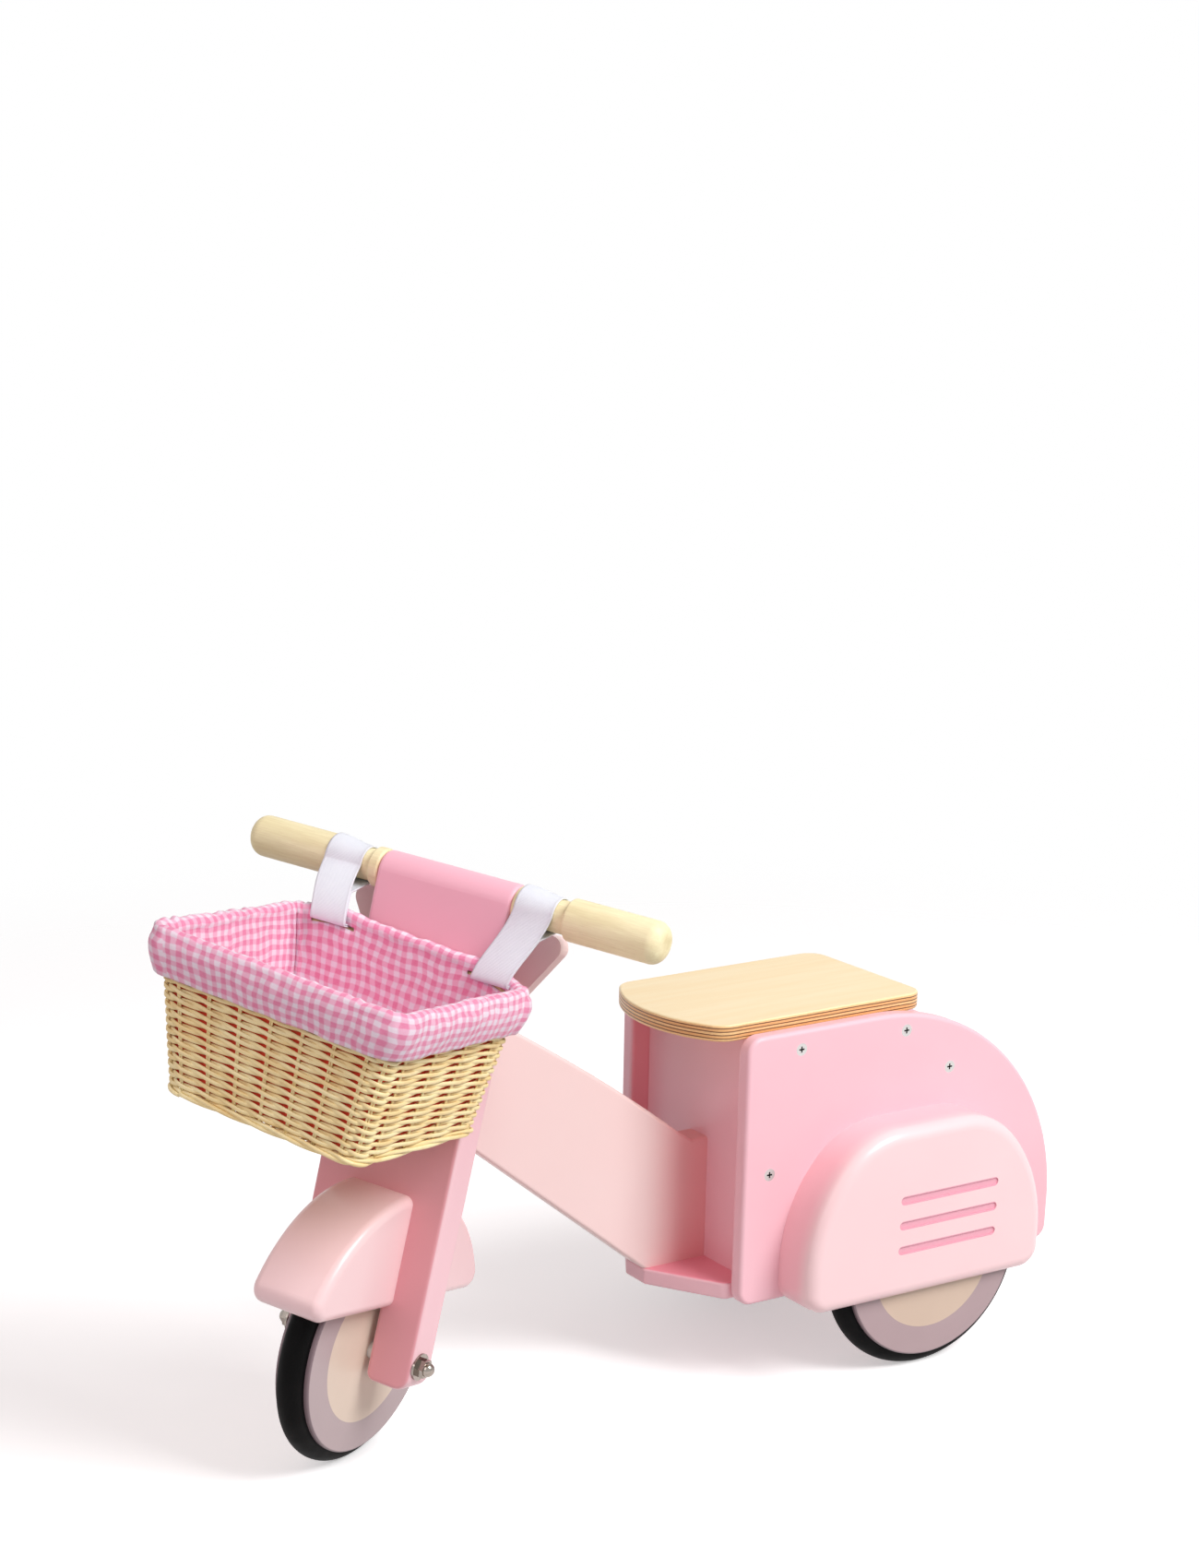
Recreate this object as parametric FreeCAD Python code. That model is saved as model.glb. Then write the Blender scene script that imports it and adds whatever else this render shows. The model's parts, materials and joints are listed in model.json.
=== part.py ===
"""Wooden ride-on scooter with a hanging wicker basket, in millimetres.

The body frame used while modelling has its origin on the floor under the rear axle, +X to
the front, +Y to the rider's left and +Z up. The steered pieces are modelled in a fork frame
whose origin is the front wheel's centre: +X to the fork's front, +Y along the front axle to
the left and +Z along the steering axis. The basket pieces have a frame of their own, with
the origin in the middle of the rim. At the end everything is moved so that the origin lies
on the floor under the middle of the overall box.
"""
import FreeCAD, Part
import math
import os

# Allowances
overrun = 5.0               # how far a cutter runs past what it cuts
fit_gap = 0.2               # between boards that are let in beside each other
running_gap = 0.1           # radial, round an axle or a bolt
loose_gap = 0.3             # between soft pieces and what they lie on
same_place = 0.01           # two coordinates closer than this are the same

# Wheels: wooden discs with a round rubber tyre in a groove
tyre_radius = 93.0
tread_radius = 11.0         # the tyre's section
disc_width = 30.0
disc_edge_round = 1.5
groove_depth = 5.0
tyre_gap = 0.15
axle_radius = 4.0
bush_wall = 3.0
bush_proud = 0.4
disc_radius = tyre_radius - tread_radius
bush_radius = axle_radius + running_gap + bush_wall

# Side panels
inside_half_width = 73.0    # half of the space between the panels
board = 14.0                # thickness of the painted boards
panel_front = 167.0
panel_rear = -147.0
panel_top = 293.0
panel_bottom = 72.7
panel_back_round = 186.0
panel_high_corner = 14.0
panel_low_corner = 12.0
board_edge_round = 3.5
panel_outside = inside_half_width + board

# Seat, a plywood board let in a little between the panels
seat_thickness = 13.4
seat_let_in = 4.1
seat_rear = -14.0
seat_front = 206.0
seat_front_round = 115.0
seat_front_corner = 20.0
seat_rear_corner = 16.0
seat_edge_round = 1.8
seat_underside = panel_top - seat_let_in
seat_top = seat_underside + seat_thickness
seat_half_width = inside_half_width - fit_gap

# Battens that carry the seat
batten_width = 18.0
batten_height = 22.0
batten_front = 130.0
batten_rear = 3.0
batten_edge_round = 1.5

# Front wall, rear wall and floor plate between the panels
wall_front = 149.8
rear_wall_middle = -31.0
rear_wall_below_arc = 5.0
plate_top = 89.2
plate_tip = 208.0
plate_corner = 170.6        # where the bevels to the tip begin
plate_corner_round = 8.0
plate_tip_round = 4.0
plate_rear = 30.0
plate_edge_round = 2.5
wall_rear = wall_front - board
plate_bottom = plate_top - board

# Screws through the panels: places seen on the side of the body
screw_head_radius = 5.0
screw_head_height = 3.0
screw_shank_radius = 2.0
screw_length = 34.0
recess_width = 1.3          # cross recess of a screw head
recess_depth = 1.6
batten_screw_front = 117.0
batten_screw_rear = 15.0
wall_screw_height = 180.0
rear_wall_screw_height = 241.0

# Rear axle and what is on it
washer_thickness = 1.1
washer_radius = 9.0
wheel_side_gap = 0.2
cap_thickness = 3.2
cap_radius = 9.0
cap_floor = 1.2

# Side pods, hollowed blocks over the rear wheels
pod_outside = 129.0
pod_middle = 13.0
pod_past_tyre = 24.0
pod_above_tyre = 25.5
pod_flank_past_tyre = 33.5
pod_flank_above_axle = 9.5
pod_below_axle = 23.0
pod_shoulder_radius = 72.2
pod_low_corner = 18.0
pod_edge_round = 10.0
pod_wall = 6.0
louvre_heights = (153.0, 132.0, 111.0)
louvre_front = 45.0
louvre_rear = -53.0
louvre_height = 6.0
louvre_depth = 1.2
pod_half_length = tyre_radius + pod_past_tyre
pod_bottom = tyre_radius - pod_below_axle
pod_top = 2 * tyre_radius + pod_above_tyre
pod_flank_radius = tyre_radius + pod_flank_past_tyre
pod_flank_height = tyre_radius + pod_flank_above_axle   # of the flank arcs' centres

# Steering geometry
rake = 13.7                 # degrees that the steering axis leans back
turned = 28.4               # degrees that the fork is turned to the left at rest
steering_foot = 415.8       # where the steering axis passes nearest the wheel's centre
steering_offset = 77.4      # from the steering axis forward to the front axle

# Main beam
beam_half_thickness = 13.0
beam_foot_front = 208.5
beam_rise = 39.0            # degrees, of the lower edge
beam_land_height = 191.0    # level land where the beam meets the wall
beam_land_front = 164.0
beam_shoulder_x = 176.0
beam_shoulder_z = 198.5
beam_crown_x = 265.0
beam_crown_z = 263.5
beam_edge_round = 3.0
head_low = 154.0            # the head's span along the steering axis
head_high = 247.0
head_seat = 17.0            # flat seat for a lug, behind the axis
steering_bush_wall = 2.5

# Steering bolt and the lugs that hold it
bolt_radius = 5.0
lug_half_width = 15.0
lug_thickness = 14.0
lug_gap = 0.5
bolt_head_across = 17.0
bolt_head_height = 6.4
bolt_washer_radius = 10.5
bolt_washer_thickness = 2.0
bolt_below_nut = 2.0

# Bolts that hold the beam to the wall
beam_bolt_heights = (116.0, 164.0)
beam_bolt_radius = 3.0
beam_bolt_end = 200.0
beam_bolt_across = 10.0
beam_bolt_head_height = 4.0
beam_bolt_washer_radius = 9.0
beam_bolt_washer = 1.6

# Fork board
fork_front = 10.8
fork_thickness = 29.4
fork_half_width = 57.0
fork_slot_half_width = 19.4
fork_slot_past_tyre = 11.0
fork_slot_corner = 12.0
prong_bottom = -20.5
prong_outer_corner = 13.0
prong_inner_corner = 7.0
bar_height = 347.6          # of the handles' axis, along the steering axis
fork_slot_top = tyre_radius + fork_slot_past_tyre
fork_back = fork_front - fork_thickness
fork_middle = fork_front - fork_thickness / 2

# Yoke board behind the fork board
yoke_low = 269.3
yoke_high = 331.0
yoke_low_half_width = 56.0
yoke_high_half_width = 96.0
yoke_corner = 9.0
yoke_screw_height = 300.0
yoke_screw_half_spacing = 32.0
yoke_edge_round = 3.0

# Handles, turned in one piece each
ring_radius = 14.9
ring_end = 66.0
neck_radius = 12.0
neck_end = 99.0
grip_radius = 15.5
grip_end = 175.0
grip_nose_round = 10.0
ring_shoulder_round = 2.0
tenon_radius = 8.0
tenon_start = 30.0

# Mudguard, a block hollowed for the wheel, in two halves
guard_past_tyre = 31.0
guard_bottom = 38.0
guard_half_width = 30.0
guard_tyre_room = 6.0
guard_hollow_half_width = 18.6
guard_edge_round = 7.0
guard_tip_round = 12.0
guard_radius = tyre_radius + guard_past_tyre
guard_hollow_radius = tyre_radius + guard_tyre_room

# Front axle and its nuts
axle_washer_radius = 10.5
axle_washer_thickness = 1.6
nut_across = 13.0
nut_height = 5.5
dome_radius = 5.6
axle_into_dome = 2.6

# Basket, tapering downwards
rim_width = 195.4
rim_depth = 174.8
base_width = 156.4
base_depth = 161.5
base_aside = 8.2            # of the base's middle to the left of the rim's
basket_corner = 11.0
wicker_half_wall = 2.2
wicker_floor = 5.0
cloth = 1.2
cuff_cloth = 1.6
cuff_height = 32.1
basket_off_fork = 12.2      # from the fork board to the back wall's rim
base_drawn_in = 13.3        # a deeper base than the rim less this hangs further from the fork
basket_left = -7.5
basket_below_bar = 51.3     # from the handles' axis down to the rim
basket_above_guard = 59.6
basket_yaw = 4.7            # degrees, how the basket hangs against the fork
basket_pitch = 4.0
basket_roll = -4.4
basket_forward = fork_front + basket_off_fork + max(rim_depth, base_depth + base_drawn_in) / 2
basket_up = bar_height - basket_below_bar
basket_height = basket_up - guard_radius - basket_above_guard
slit_below_rim = 10.0
slit_height = 6.0
slit_margin = 4.2
slit_place = 65.0           # of their middles, to each side of a point slit_shift to the left
slit_shift = 7.7

# Straps, loops round the handle necks with tails through the slits
strap_width = 30.0
strap_thickness = 1.2
strap_place = 82.6          # of their middles on the necks, to each side
strap_fold_radius = 1.0
strap_inside = 8.0          # from the wall's middle to the tail inside the basket
strap_above_rim = 6.0       # where the loop's two sides meet
strap_outside = 5.0


def vector(x, y, z):
    return FreeCAD.Vector(x, y, z)


ORIGIN = vector(0, 0, 0)
X = vector(1, 0, 0)
Y = vector(0, 1, 0)
Z = vector(0, 0, 1)


def cut_corner(before, corner, after, radius):
    """The start, middle and end of an arc that rounds a corner of an outline."""
    back = (before - corner).normalize()
    on = (after - corner).normalize()
    half = back.getAngle(on) / 2
    inward = (back + on).normalize()
    centre = corner + inward * (radius / math.sin(half))
    start = corner + back * (radius / math.tan(half))
    end = corner + on * (radius / math.tan(half))
    return start, centre - inward * radius, end


def rounded(corners, plane):
    """A closed outline from (first, second, radius) corners; plane makes a point of two values."""
    points = [plane(first, second) for first, second, radius in corners]
    edges = []
    starts = []
    ends = []
    for index, (first, second, radius) in enumerate(corners):
        before = points[index - 1]
        after = points[(index + 1) % len(points)]
        if radius == 0:
            starts.append(points[index])
            ends.append(points[index])
            continue
        start, middle, end = cut_corner(before, points[index], after, radius)
        edges.append(Part.Arc(start, middle, end).toShape())
        starts.append(start)
        ends.append(end)
    for index in range(len(points)):
        follow = (index + 1) % len(points)
        if ends[index].distanceToPoint(starts[follow]) > same_place:
            edges.append(Part.LineSegment(ends[index], starts[follow]).toShape())
    return Part.Wire(Part.__sortEdges__(edges))


def side_plane(x, z):
    return vector(x, 0, z)


def floor_plane(x, y):
    return vector(x, y, 0)


def front_plane(y, z):
    return vector(0, y, z)


def prism(wire, start, length):
    """A wire's face, moved by start and drawn out along length."""
    face = Part.Face(wire)
    face.translate(start)
    return face.extrude(length)


def block(low, high):
    size = high - low
    return Part.makeBox(size.x, size.y, size.z, low)


def rod(radius, start, end):
    return Part.makeCylinder(radius, start.distanceToPoint(end), start, end - start)


def tube(outer, inner, start, end):
    along = (end - start).normalize() * overrun
    return rod(outer, start, end).cut(rod(inner, start - along, end + along))


def hexagon(across, start, end):
    """A six-sided bar between two points."""
    corner = across / math.sqrt(3)
    bar = Part.makePolygon([vector(corner * math.cos(math.radians(60 * side)),
                                   corner * math.sin(math.radians(60 * side)), 0)
                            for side in range(7)])
    shape = Part.Face(bar).extrude(Z * start.distanceToPoint(end))
    shape.Placement = FreeCAD.Placement(start, FreeCAD.Rotation(Z, end - start))
    return shape


def edges_on(shape, axis, place):
    """The edges that lie wholly at one value of a coordinate."""
    return [edge for edge in shape.Edges
            if all(abs(getattr(point, axis) - place) < same_place for point in edge.discretize(5))]


def mirrored(shape):
    """The same piece on the other side of the middle plane."""
    return shape.mirror(ORIGIN, Y)


def screw(head, along, grow):
    """A countersunk screw, or with grow the hole that it sits in."""
    start = head - along * grow
    cone = Part.makeCone(screw_head_radius + grow, screw_shank_radius + grow,
                         screw_head_height, start, along)
    shank = rod(screw_shank_radius + grow, head, head + along * (screw_length + grow))
    return cone.fuse(shank)


def cross_recess(head, along):
    """The cross in a screw's head, as a cutter."""
    across = along.cross(Z).normalize()
    arm = screw_head_radius / 2
    half = recess_width / 2
    first = Part.makeBox(2 * arm, recess_width, recess_depth + overrun, vector(-arm, -half, -recess_depth))
    second = Part.makeBox(recess_width, 2 * arm, recess_depth + overrun, vector(-half, -arm, -recess_depth))
    cross = first.fuse(second)
    turn = FreeCAD.Matrix(across.x, -along.cross(across).x, -along.x, head.x,
                          across.y, -along.cross(across).y, -along.y, head.y,
                          across.z, -along.cross(across).z, -along.z, head.z,
                          0, 0, 0, 1)
    return cross.transformShape(turn)


def finished_screws(places, along):
    """Screws with their cross recesses, as separate solids of one node."""
    return Part.makeCompound([screw(place, along, 0).cut(cross_recess(place, along))
                              for place in places])


def screw_holes(places, along):
    holes = [screw(place, along, running_gap) for place in places]
    return Part.makeCompound(holes)


# The panels' screws, on the left side
panel_screw_places = [vector(batten_screw_front, panel_outside, seat_underside - batten_height / 2),
                      vector(batten_screw_rear, panel_outside, seat_underside - batten_height / 2),
                      vector(wall_front - board / 2, panel_outside, wall_screw_height),
                      vector(rear_wall_middle, panel_outside, rear_wall_screw_height)]
left_screw_holes = screw_holes(panel_screw_places, -Y)
all_screw_holes = Part.makeCompound([left_screw_holes, mirrored(left_screw_holes)])


def side_panel():
    """The left panel, with its back corner drawn as one large quarter round."""
    outline = rounded([(panel_front, panel_bottom, panel_low_corner),
                       (panel_front, panel_top, panel_high_corner),
                       (panel_rear, panel_top, panel_back_round),
                       (panel_rear, panel_bottom, panel_low_corner)], side_plane)
    panel = prism(outline, Y * inside_half_width, Y * board)
    rims = edges_on(panel, "y", inside_half_width) + edges_on(panel, "y", panel_outside)
    panel = panel.makeFillet(board_edge_round, rims)
    axle_hole = rod(axle_radius + running_gap, vector(0, 0, tyre_radius),
                    vector(0, panel_outside + overrun, tyre_radius))
    return panel.cut(axle_hole).cut(left_screw_holes)


def seat_board():
    """Flat at the back and bowed at the front."""
    arc_centre = seat_front - seat_front_round
    corner_reach = seat_front_round - seat_front_corner
    corner_y = seat_half_width - seat_front_corner
    corner_x = arc_centre + math.sqrt(corner_reach ** 2 - corner_y ** 2)
    share = seat_front_round / corner_reach
    meet = vector(arc_centre + (corner_x - arc_centre) * share, corner_y * share, 0)
    turn = math.atan2(corner_y, corner_x - arc_centre)
    middle_angle = (turn + math.pi / 2) / 2
    knee = vector(corner_x + seat_front_corner * math.cos(middle_angle),
                  corner_y + seat_front_corner * math.sin(middle_angle), 0)
    side_end = vector(corner_x, seat_half_width, 0)
    rear_start = vector(seat_rear + seat_rear_corner, seat_half_width, 0)
    rear_end = vector(seat_rear, seat_half_width - seat_rear_corner, 0)
    lean = seat_rear_corner * (1 - math.sqrt(0.5))
    rear_knee = vector(seat_rear + lean, seat_half_width - lean, 0)

    def other(point):
        return vector(point.x, -point.y, 0)

    edges = [Part.Arc(other(meet), vector(seat_front, 0, 0), meet),
             Part.Arc(meet, knee, side_end),
             Part.LineSegment(side_end, rear_start),
             Part.Arc(rear_start, rear_knee, rear_end),
             Part.LineSegment(rear_end, other(rear_end)),
             Part.Arc(other(rear_end), other(rear_knee), other(rear_start)),
             Part.LineSegment(other(rear_start), other(side_end)),
             Part.Arc(other(side_end), other(knee), other(meet))]
    outline = Part.Wire([edge.toShape() for edge in edges])
    seat = prism(outline, Z * seat_underside, Z * seat_thickness)
    rims = edges_on(seat, "z", seat_top) + edges_on(seat, "z", seat_underside)
    return seat.makeFillet(seat_edge_round, rims)


def seat_batten():
    """The left batten under the seat, screwed to the panel."""
    low = vector(batten_rear, inside_half_width - batten_width, seat_underside - batten_height)
    high = vector(batten_front, inside_half_width, seat_underside)
    batten = block(low, high)
    batten = batten.makeFillet(batten_edge_round, edges_on(batten, "y", low.y))
    return batten.cut(left_screw_holes)


def beam_bolt_holes():
    holes = []
    for height in beam_bolt_heights:
        start = vector(wall_rear - overrun, 0, height)
        holes.append(rod(beam_bolt_radius + running_gap, start, vector(beam_bolt_end + running_gap, 0, height)))
    return Part.makeCompound(holes)


def front_wall():
    wall = block(vector(wall_rear, -seat_half_width, plate_top),
                 vector(wall_front, seat_half_width, seat_underside))
    return wall.cut(all_screw_holes).cut(beam_bolt_holes())


def rear_wall():
    """Closes the body behind the seat; its top follows the panels' back round."""
    arc_x = panel_rear + panel_back_round - rear_wall_middle
    arc_top = panel_top - panel_back_round + math.sqrt(panel_back_round ** 2 - arc_x ** 2)
    wall = block(vector(rear_wall_middle - board / 2, -seat_half_width, plate_top),
                 vector(rear_wall_middle + board / 2, seat_half_width, arc_top - rear_wall_below_arc))
    rims = edges_on(wall, "z", arc_top - rear_wall_below_arc)
    wall = wall.makeFillet(board_edge_round, [edge for edge in rims if edge.Length > board + fit_gap])
    axle_notch = rod(axle_radius + running_gap, vector(0, -panel_outside, tyre_radius),
                     vector(0, panel_outside, tyre_radius))
    return wall.cut(all_screw_holes).cut(axle_notch)


def floor_plate():
    """The foot board, bevelled to a narrow tip in front of the wall."""
    corners = [(plate_rear, -seat_half_width, 0),
               (plate_corner, -seat_half_width, plate_corner_round),
               (plate_tip, -beam_half_thickness, plate_tip_round),
               (plate_tip, beam_half_thickness, plate_tip_round),
               (plate_corner, seat_half_width, plate_corner_round),
               (plate_rear, seat_half_width, 0)]
    plate = prism(rounded(corners, floor_plane), Z * plate_bottom, Z * board)
    rims = edges_on(plate, "z", plate_bottom) + edges_on(plate, "z", plate_top)
    front = [edge for edge in rims if edge.CenterOfMass.x > plate_corner - plate_corner_round]
    return plate.makeFillet(plate_edge_round, front)


# Directions of the steering axis and of the fork when it is straight, in the body frame
lean = math.radians(rake)
axis_up = vector(-math.sin(lean), 0, math.cos(lean))
axis_forward = vector(math.cos(lean), 0, math.sin(lean))
swing = math.radians(turned)
wheel_lean = math.asin(math.sin(lean) * math.sin(swing))
wheel_height = disc_radius * math.cos(wheel_lean) + tread_radius
foot_height = wheel_height - steering_offset * math.sin(lean) * math.cos(swing)
foot = vector(steering_foot, 0, foot_height)


def on_axis(forward, up):
    """A point of the middle plane, from the steering axis's foot."""
    return foot + axis_forward * forward + axis_up * up


def main_beam():
    """The board from the wall to the steering head, with a half-round head end."""
    rise = vector(math.cos(math.radians(beam_rise)), 0, math.sin(math.radians(beam_rise)))
    foot_front = vector(beam_foot_front, 0, plate_top)
    to_seat = (-head_seat - (foot_front - foot).dot(axis_forward)) / rise.dot(axis_forward)
    throat = foot_front + rise * to_seat
    top_seat = on_axis(-head_seat, head_high)
    shoulder = vector(beam_shoulder_x, 0, beam_shoulder_z)
    land = vector(beam_land_front, 0, beam_land_height)
    wall_point = vector(wall_front, 0, beam_land_height)
    corners = [vector(wall_front, 0, plate_top), foot_front, throat,
               on_axis(-head_seat, head_low), on_axis(0, head_low), on_axis(0, head_high), top_seat]
    edges = [Part.LineSegment(start, end).toShape() for start, end in zip(corners, corners[1:])]
    edges.append(Part.Arc(top_seat, vector(beam_crown_x, 0, beam_crown_z), shoulder).toShape())
    edges.append(Part.LineSegment(shoulder, land).toShape())
    edges.append(Part.LineSegment(land, wall_point).toShape())
    edges.append(Part.LineSegment(wall_point, corners[0]).toShape())
    beam = prism(Part.Wire(edges), Y * -beam_half_thickness, Y * 2 * beam_half_thickness)
    long_edges = [edge for edge in beam.Edges
                  if abs(abs(edge.CenterOfMass.y) - beam_half_thickness) < same_place
                  and edge.CenterOfMass.z > plate_top + same_place
                  and edge.CenterOfMass.x > wall_front + same_place
                  and (edge.CenterOfMass - foot).dot(axis_forward) < -head_seat - same_place]
    beam = beam.makeFillet(beam_edge_round, long_edges)
    head = rod(beam_half_thickness, on_axis(0, head_low), on_axis(0, head_high))
    bore = rod(bolt_radius + running_gap + steering_bush_wall,
               on_axis(0, head_low - overrun), on_axis(0, head_high + overrun))
    return beam.fuse(head).removeSplitter().cut(bore).cut(beam_bolt_holes())


def beam_bolts():
    """Two bolts with washers, from inside the body through the wall into the beam's foot."""
    solids = []
    for height in beam_bolt_heights:
        seat = vector(wall_rear, 0, height)
        under_head = vector(wall_rear - beam_bolt_washer, 0, height)
        shank = rod(beam_bolt_radius, under_head, vector(beam_bolt_end, 0, height))
        head = hexagon(beam_bolt_across, under_head - X * beam_bolt_head_height, under_head)
        solids.append(shank.fuse(head))
        solids.append(tube(beam_bolt_washer_radius, beam_bolt_radius + running_gap, under_head, seat))
    return Part.makeCompound(solids)


def pod_outline(shrink, bottom):
    """The pod's outline, drawn in by shrink; its arcs keep their centres."""
    half = pod_half_length - shrink
    flank = pod_flank_radius - shrink
    shoulder = pod_shoulder_radius - shrink
    flank_x = pod_half_length - pod_flank_radius
    shoulder_z = pod_top - pod_shoulder_radius
    reach = pod_flank_radius - pod_shoulder_radius
    shoulder_x = flank_x + math.sqrt(reach ** 2 - (shoulder_z - pod_flank_height) ** 2)
    turn = math.atan2(shoulder_z - pod_flank_height, shoulder_x - flank_x)
    corner = pod_low_corner - shrink

    def ring(centre_x, centre_z, radius, angle):
        return vector(centre_x + radius * math.cos(angle), 0, centre_z + radius * math.sin(angle))

    right = [ring(half - corner, bottom + corner, corner, -math.pi / 2),
             ring(half - corner, bottom + corner, corner, -math.pi / 4),
             vector(half, 0, bottom + corner),
             vector(half, 0, pod_flank_height),
             ring(flank_x, pod_flank_height, flank, turn / 2),
             ring(flank_x, pod_flank_height, flank, turn),
             ring(shoulder_x, shoulder_z, shoulder, (turn + math.pi / 2) / 2),
             vector(shoulder_x, 0, shoulder_z + shoulder)]
    left = [vector(-point.x, 0, point.z) for point in reversed(right)]
    edges = [Part.Arc(*right[0:3]), Part.LineSegment(*right[2:4]), Part.Arc(*right[3:6]),
             Part.Arc(*right[5:8]), Part.LineSegment(right[7], left[0]), Part.Arc(*left[0:3]),
             Part.Arc(*left[2:5]), Part.LineSegment(*left[4:6]), Part.Arc(*left[5:8]),
             Part.LineSegment(left[7], right[0])]
    wire = Part.Wire([edge.toShape() for edge in edges])
    wire.translate(X * pod_middle)
    return wire


def side_pod():
    """The left pod: a hollowed block with a soft outer edge and three louvre grooves."""
    pod = prism(pod_outline(0, pod_bottom), Y * panel_outside, Y * (pod_outside - panel_outside))
    pod = pod.makeFillet(pod_edge_round, edges_on(pod, "y", pod_outside))
    hollow = prism(pod_outline(pod_wall, pod_bottom - pod_low_corner - overrun), Y * (panel_outside - overrun),
                   Y * (pod_outside - pod_wall - panel_outside + overrun))
    pod = pod.cut(hollow)
    half = louvre_height / 2
    for height in louvre_heights:
        corners = [(louvre_rear, height - half, half), (louvre_front, height - half, half),
                   (louvre_front, height + half, half), (louvre_rear, height + half, half)]
        shorter = [(x, z, radius - same_place) for x, z, radius in corners]
        pod = pod.cut(prism(rounded(shorter, side_plane), Y * (pod_outside - louvre_depth), Y * overrun))
    return pod


def wheel_disc():
    """A disc about its own centre, its axle along Y, grooved for the tyre."""
    half = disc_width / 2
    disc = rod(disc_radius, Y * -half, Y * half)
    disc = disc.makeFillet(disc_edge_round, edges_on(disc, "y", -half) + edges_on(disc, "y", half))
    groove = tube(disc_radius + overrun, disc_radius - groove_depth, Y * -tread_radius, Y * tread_radius)
    return disc.cut(groove).cut(rod(bush_radius, Y * -disc_width, Y * disc_width))


def tyre():
    """A rubber ring: flat where it sits in the groove and half round outside it."""
    inner = disc_radius - groove_depth + tyre_gap
    half = tread_radius - tyre_gap
    corners = [vector(inner, -half, 0), vector(inner, half, 0), vector(disc_radius, half, 0),
               vector(disc_radius + tread_radius, 0, 0), vector(disc_radius, -half, 0)]
    section = Part.Wire([Part.LineSegment(corners[4], corners[0]).toShape(),
                         Part.LineSegment(corners[0], corners[1]).toShape(),
                         Part.LineSegment(corners[1], corners[2]).toShape(),
                         Part.Arc(corners[2], corners[3], corners[4]).toShape()])
    return Part.Face(section).revolve(ORIGIN, Y, 360)


def wheel_bush():
    half = disc_width / 2 + bush_proud
    return tube(bush_radius, axle_radius + running_gap, Y * -half, Y * half)


rear_wheel_middle = panel_outside + washer_thickness + 2 * wheel_side_gap + bush_proud + disc_width / 2
rear_axle_end = rear_wheel_middle + disc_width / 2 + bush_proud + wheel_side_gap + cap_thickness - cap_floor


def rear_axle():
    return rod(axle_radius, vector(0, -rear_axle_end, tyre_radius), vector(0, rear_axle_end, tyre_radius))


def rear_washers():
    start = vector(0, panel_outside + wheel_side_gap, tyre_radius)
    washer = tube(washer_radius, axle_radius + running_gap, start, start + Y * washer_thickness)
    return Part.makeCompound([washer, mirrored(washer)])


def rear_axle_caps():
    end = vector(0, rear_axle_end, tyre_radius)
    cap = rod(cap_radius, end - Y * (cap_thickness - cap_floor), end + Y * cap_floor)
    cap = cap.makeFillet(cap_floor / 2, edges_on(cap, "y", rear_axle_end + cap_floor))
    cap = cap.cut(rod(axle_radius, end - Y * cap_thickness, end))
    return Part.makeCompound([cap, mirrored(cap)])


def steering_bush():
    return tube(bolt_radius + running_gap + steering_bush_wall, bolt_radius + running_gap,
                on_axis(0, head_low), on_axis(0, head_high))


def fork_board():
    """One thick board: slotted for the wheel below, with a full round along its top edge."""
    top = bar_height + fork_thickness / 2
    front = rounded([(-fork_half_width, prong_bottom, prong_outer_corner),
                     (-fork_slot_half_width, prong_bottom, prong_inner_corner),
                     (-fork_slot_half_width, fork_slot_top, fork_slot_corner),
                     (fork_slot_half_width, fork_slot_top, fork_slot_corner),
                     (fork_slot_half_width, prong_bottom, prong_inner_corner),
                     (fork_half_width, prong_bottom, prong_outer_corner),
                     (fork_half_width, top, 0), (-fork_half_width, top, 0)], front_plane)
    fork = prism(front, X * fork_back, X * fork_thickness)
    round_edges = [edge for edge in edges_on(fork, "z", top) if edge.Length > fork_half_width]
    fork = fork.makeFillet(fork_thickness / 2 - same_place, round_edges)
    rims = [edge for edge in edges_on(fork, "x", fork_front) + edges_on(fork, "x", fork_back)
            + edges_on(fork, "y", fork_half_width) + edges_on(fork, "y", -fork_half_width)
            if edge.BoundBox.YLength < fork_half_width]
    seen = {edge.hashCode(): edge for edge in rims}
    fork = fork.makeFillet(board_edge_round, list(seen.values()))
    axle_hole = rod(axle_radius + running_gap, Y * -(fork_half_width + overrun), Y * (fork_half_width + overrun))
    fork = fork.cut(axle_hole).cut(screw_holes(yoke_screw_places, X))
    for side in (Y, -Y):
        axis = vector(fork_middle, 0, bar_height)
        socket = rod(tenon_radius + running_gap, axis + side * (tenon_start - running_gap),
                     axis + side * (fork_half_width + overrun))
        fork = fork.cut(socket)
    return fork


yoke_screw_places = [vector(fork_back - board, side * yoke_screw_half_spacing, yoke_screw_height)
                     for side in (-1, 1)]


def yoke_board():
    """The flared board that backs the handles."""
    outline = rounded([(-yoke_low_half_width, yoke_low, yoke_corner),
                       (yoke_low_half_width, yoke_low, yoke_corner),
                       (yoke_high_half_width, yoke_high, yoke_corner),
                       (-yoke_high_half_width, yoke_high, yoke_corner)], front_plane)
    yoke = prism(outline, X * (fork_back - board), X * board)
    yoke = yoke.makeFillet(yoke_edge_round, edges_on(yoke, "x", fork_back - board))
    return yoke.cut(screw_holes(yoke_screw_places, X))


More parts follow.
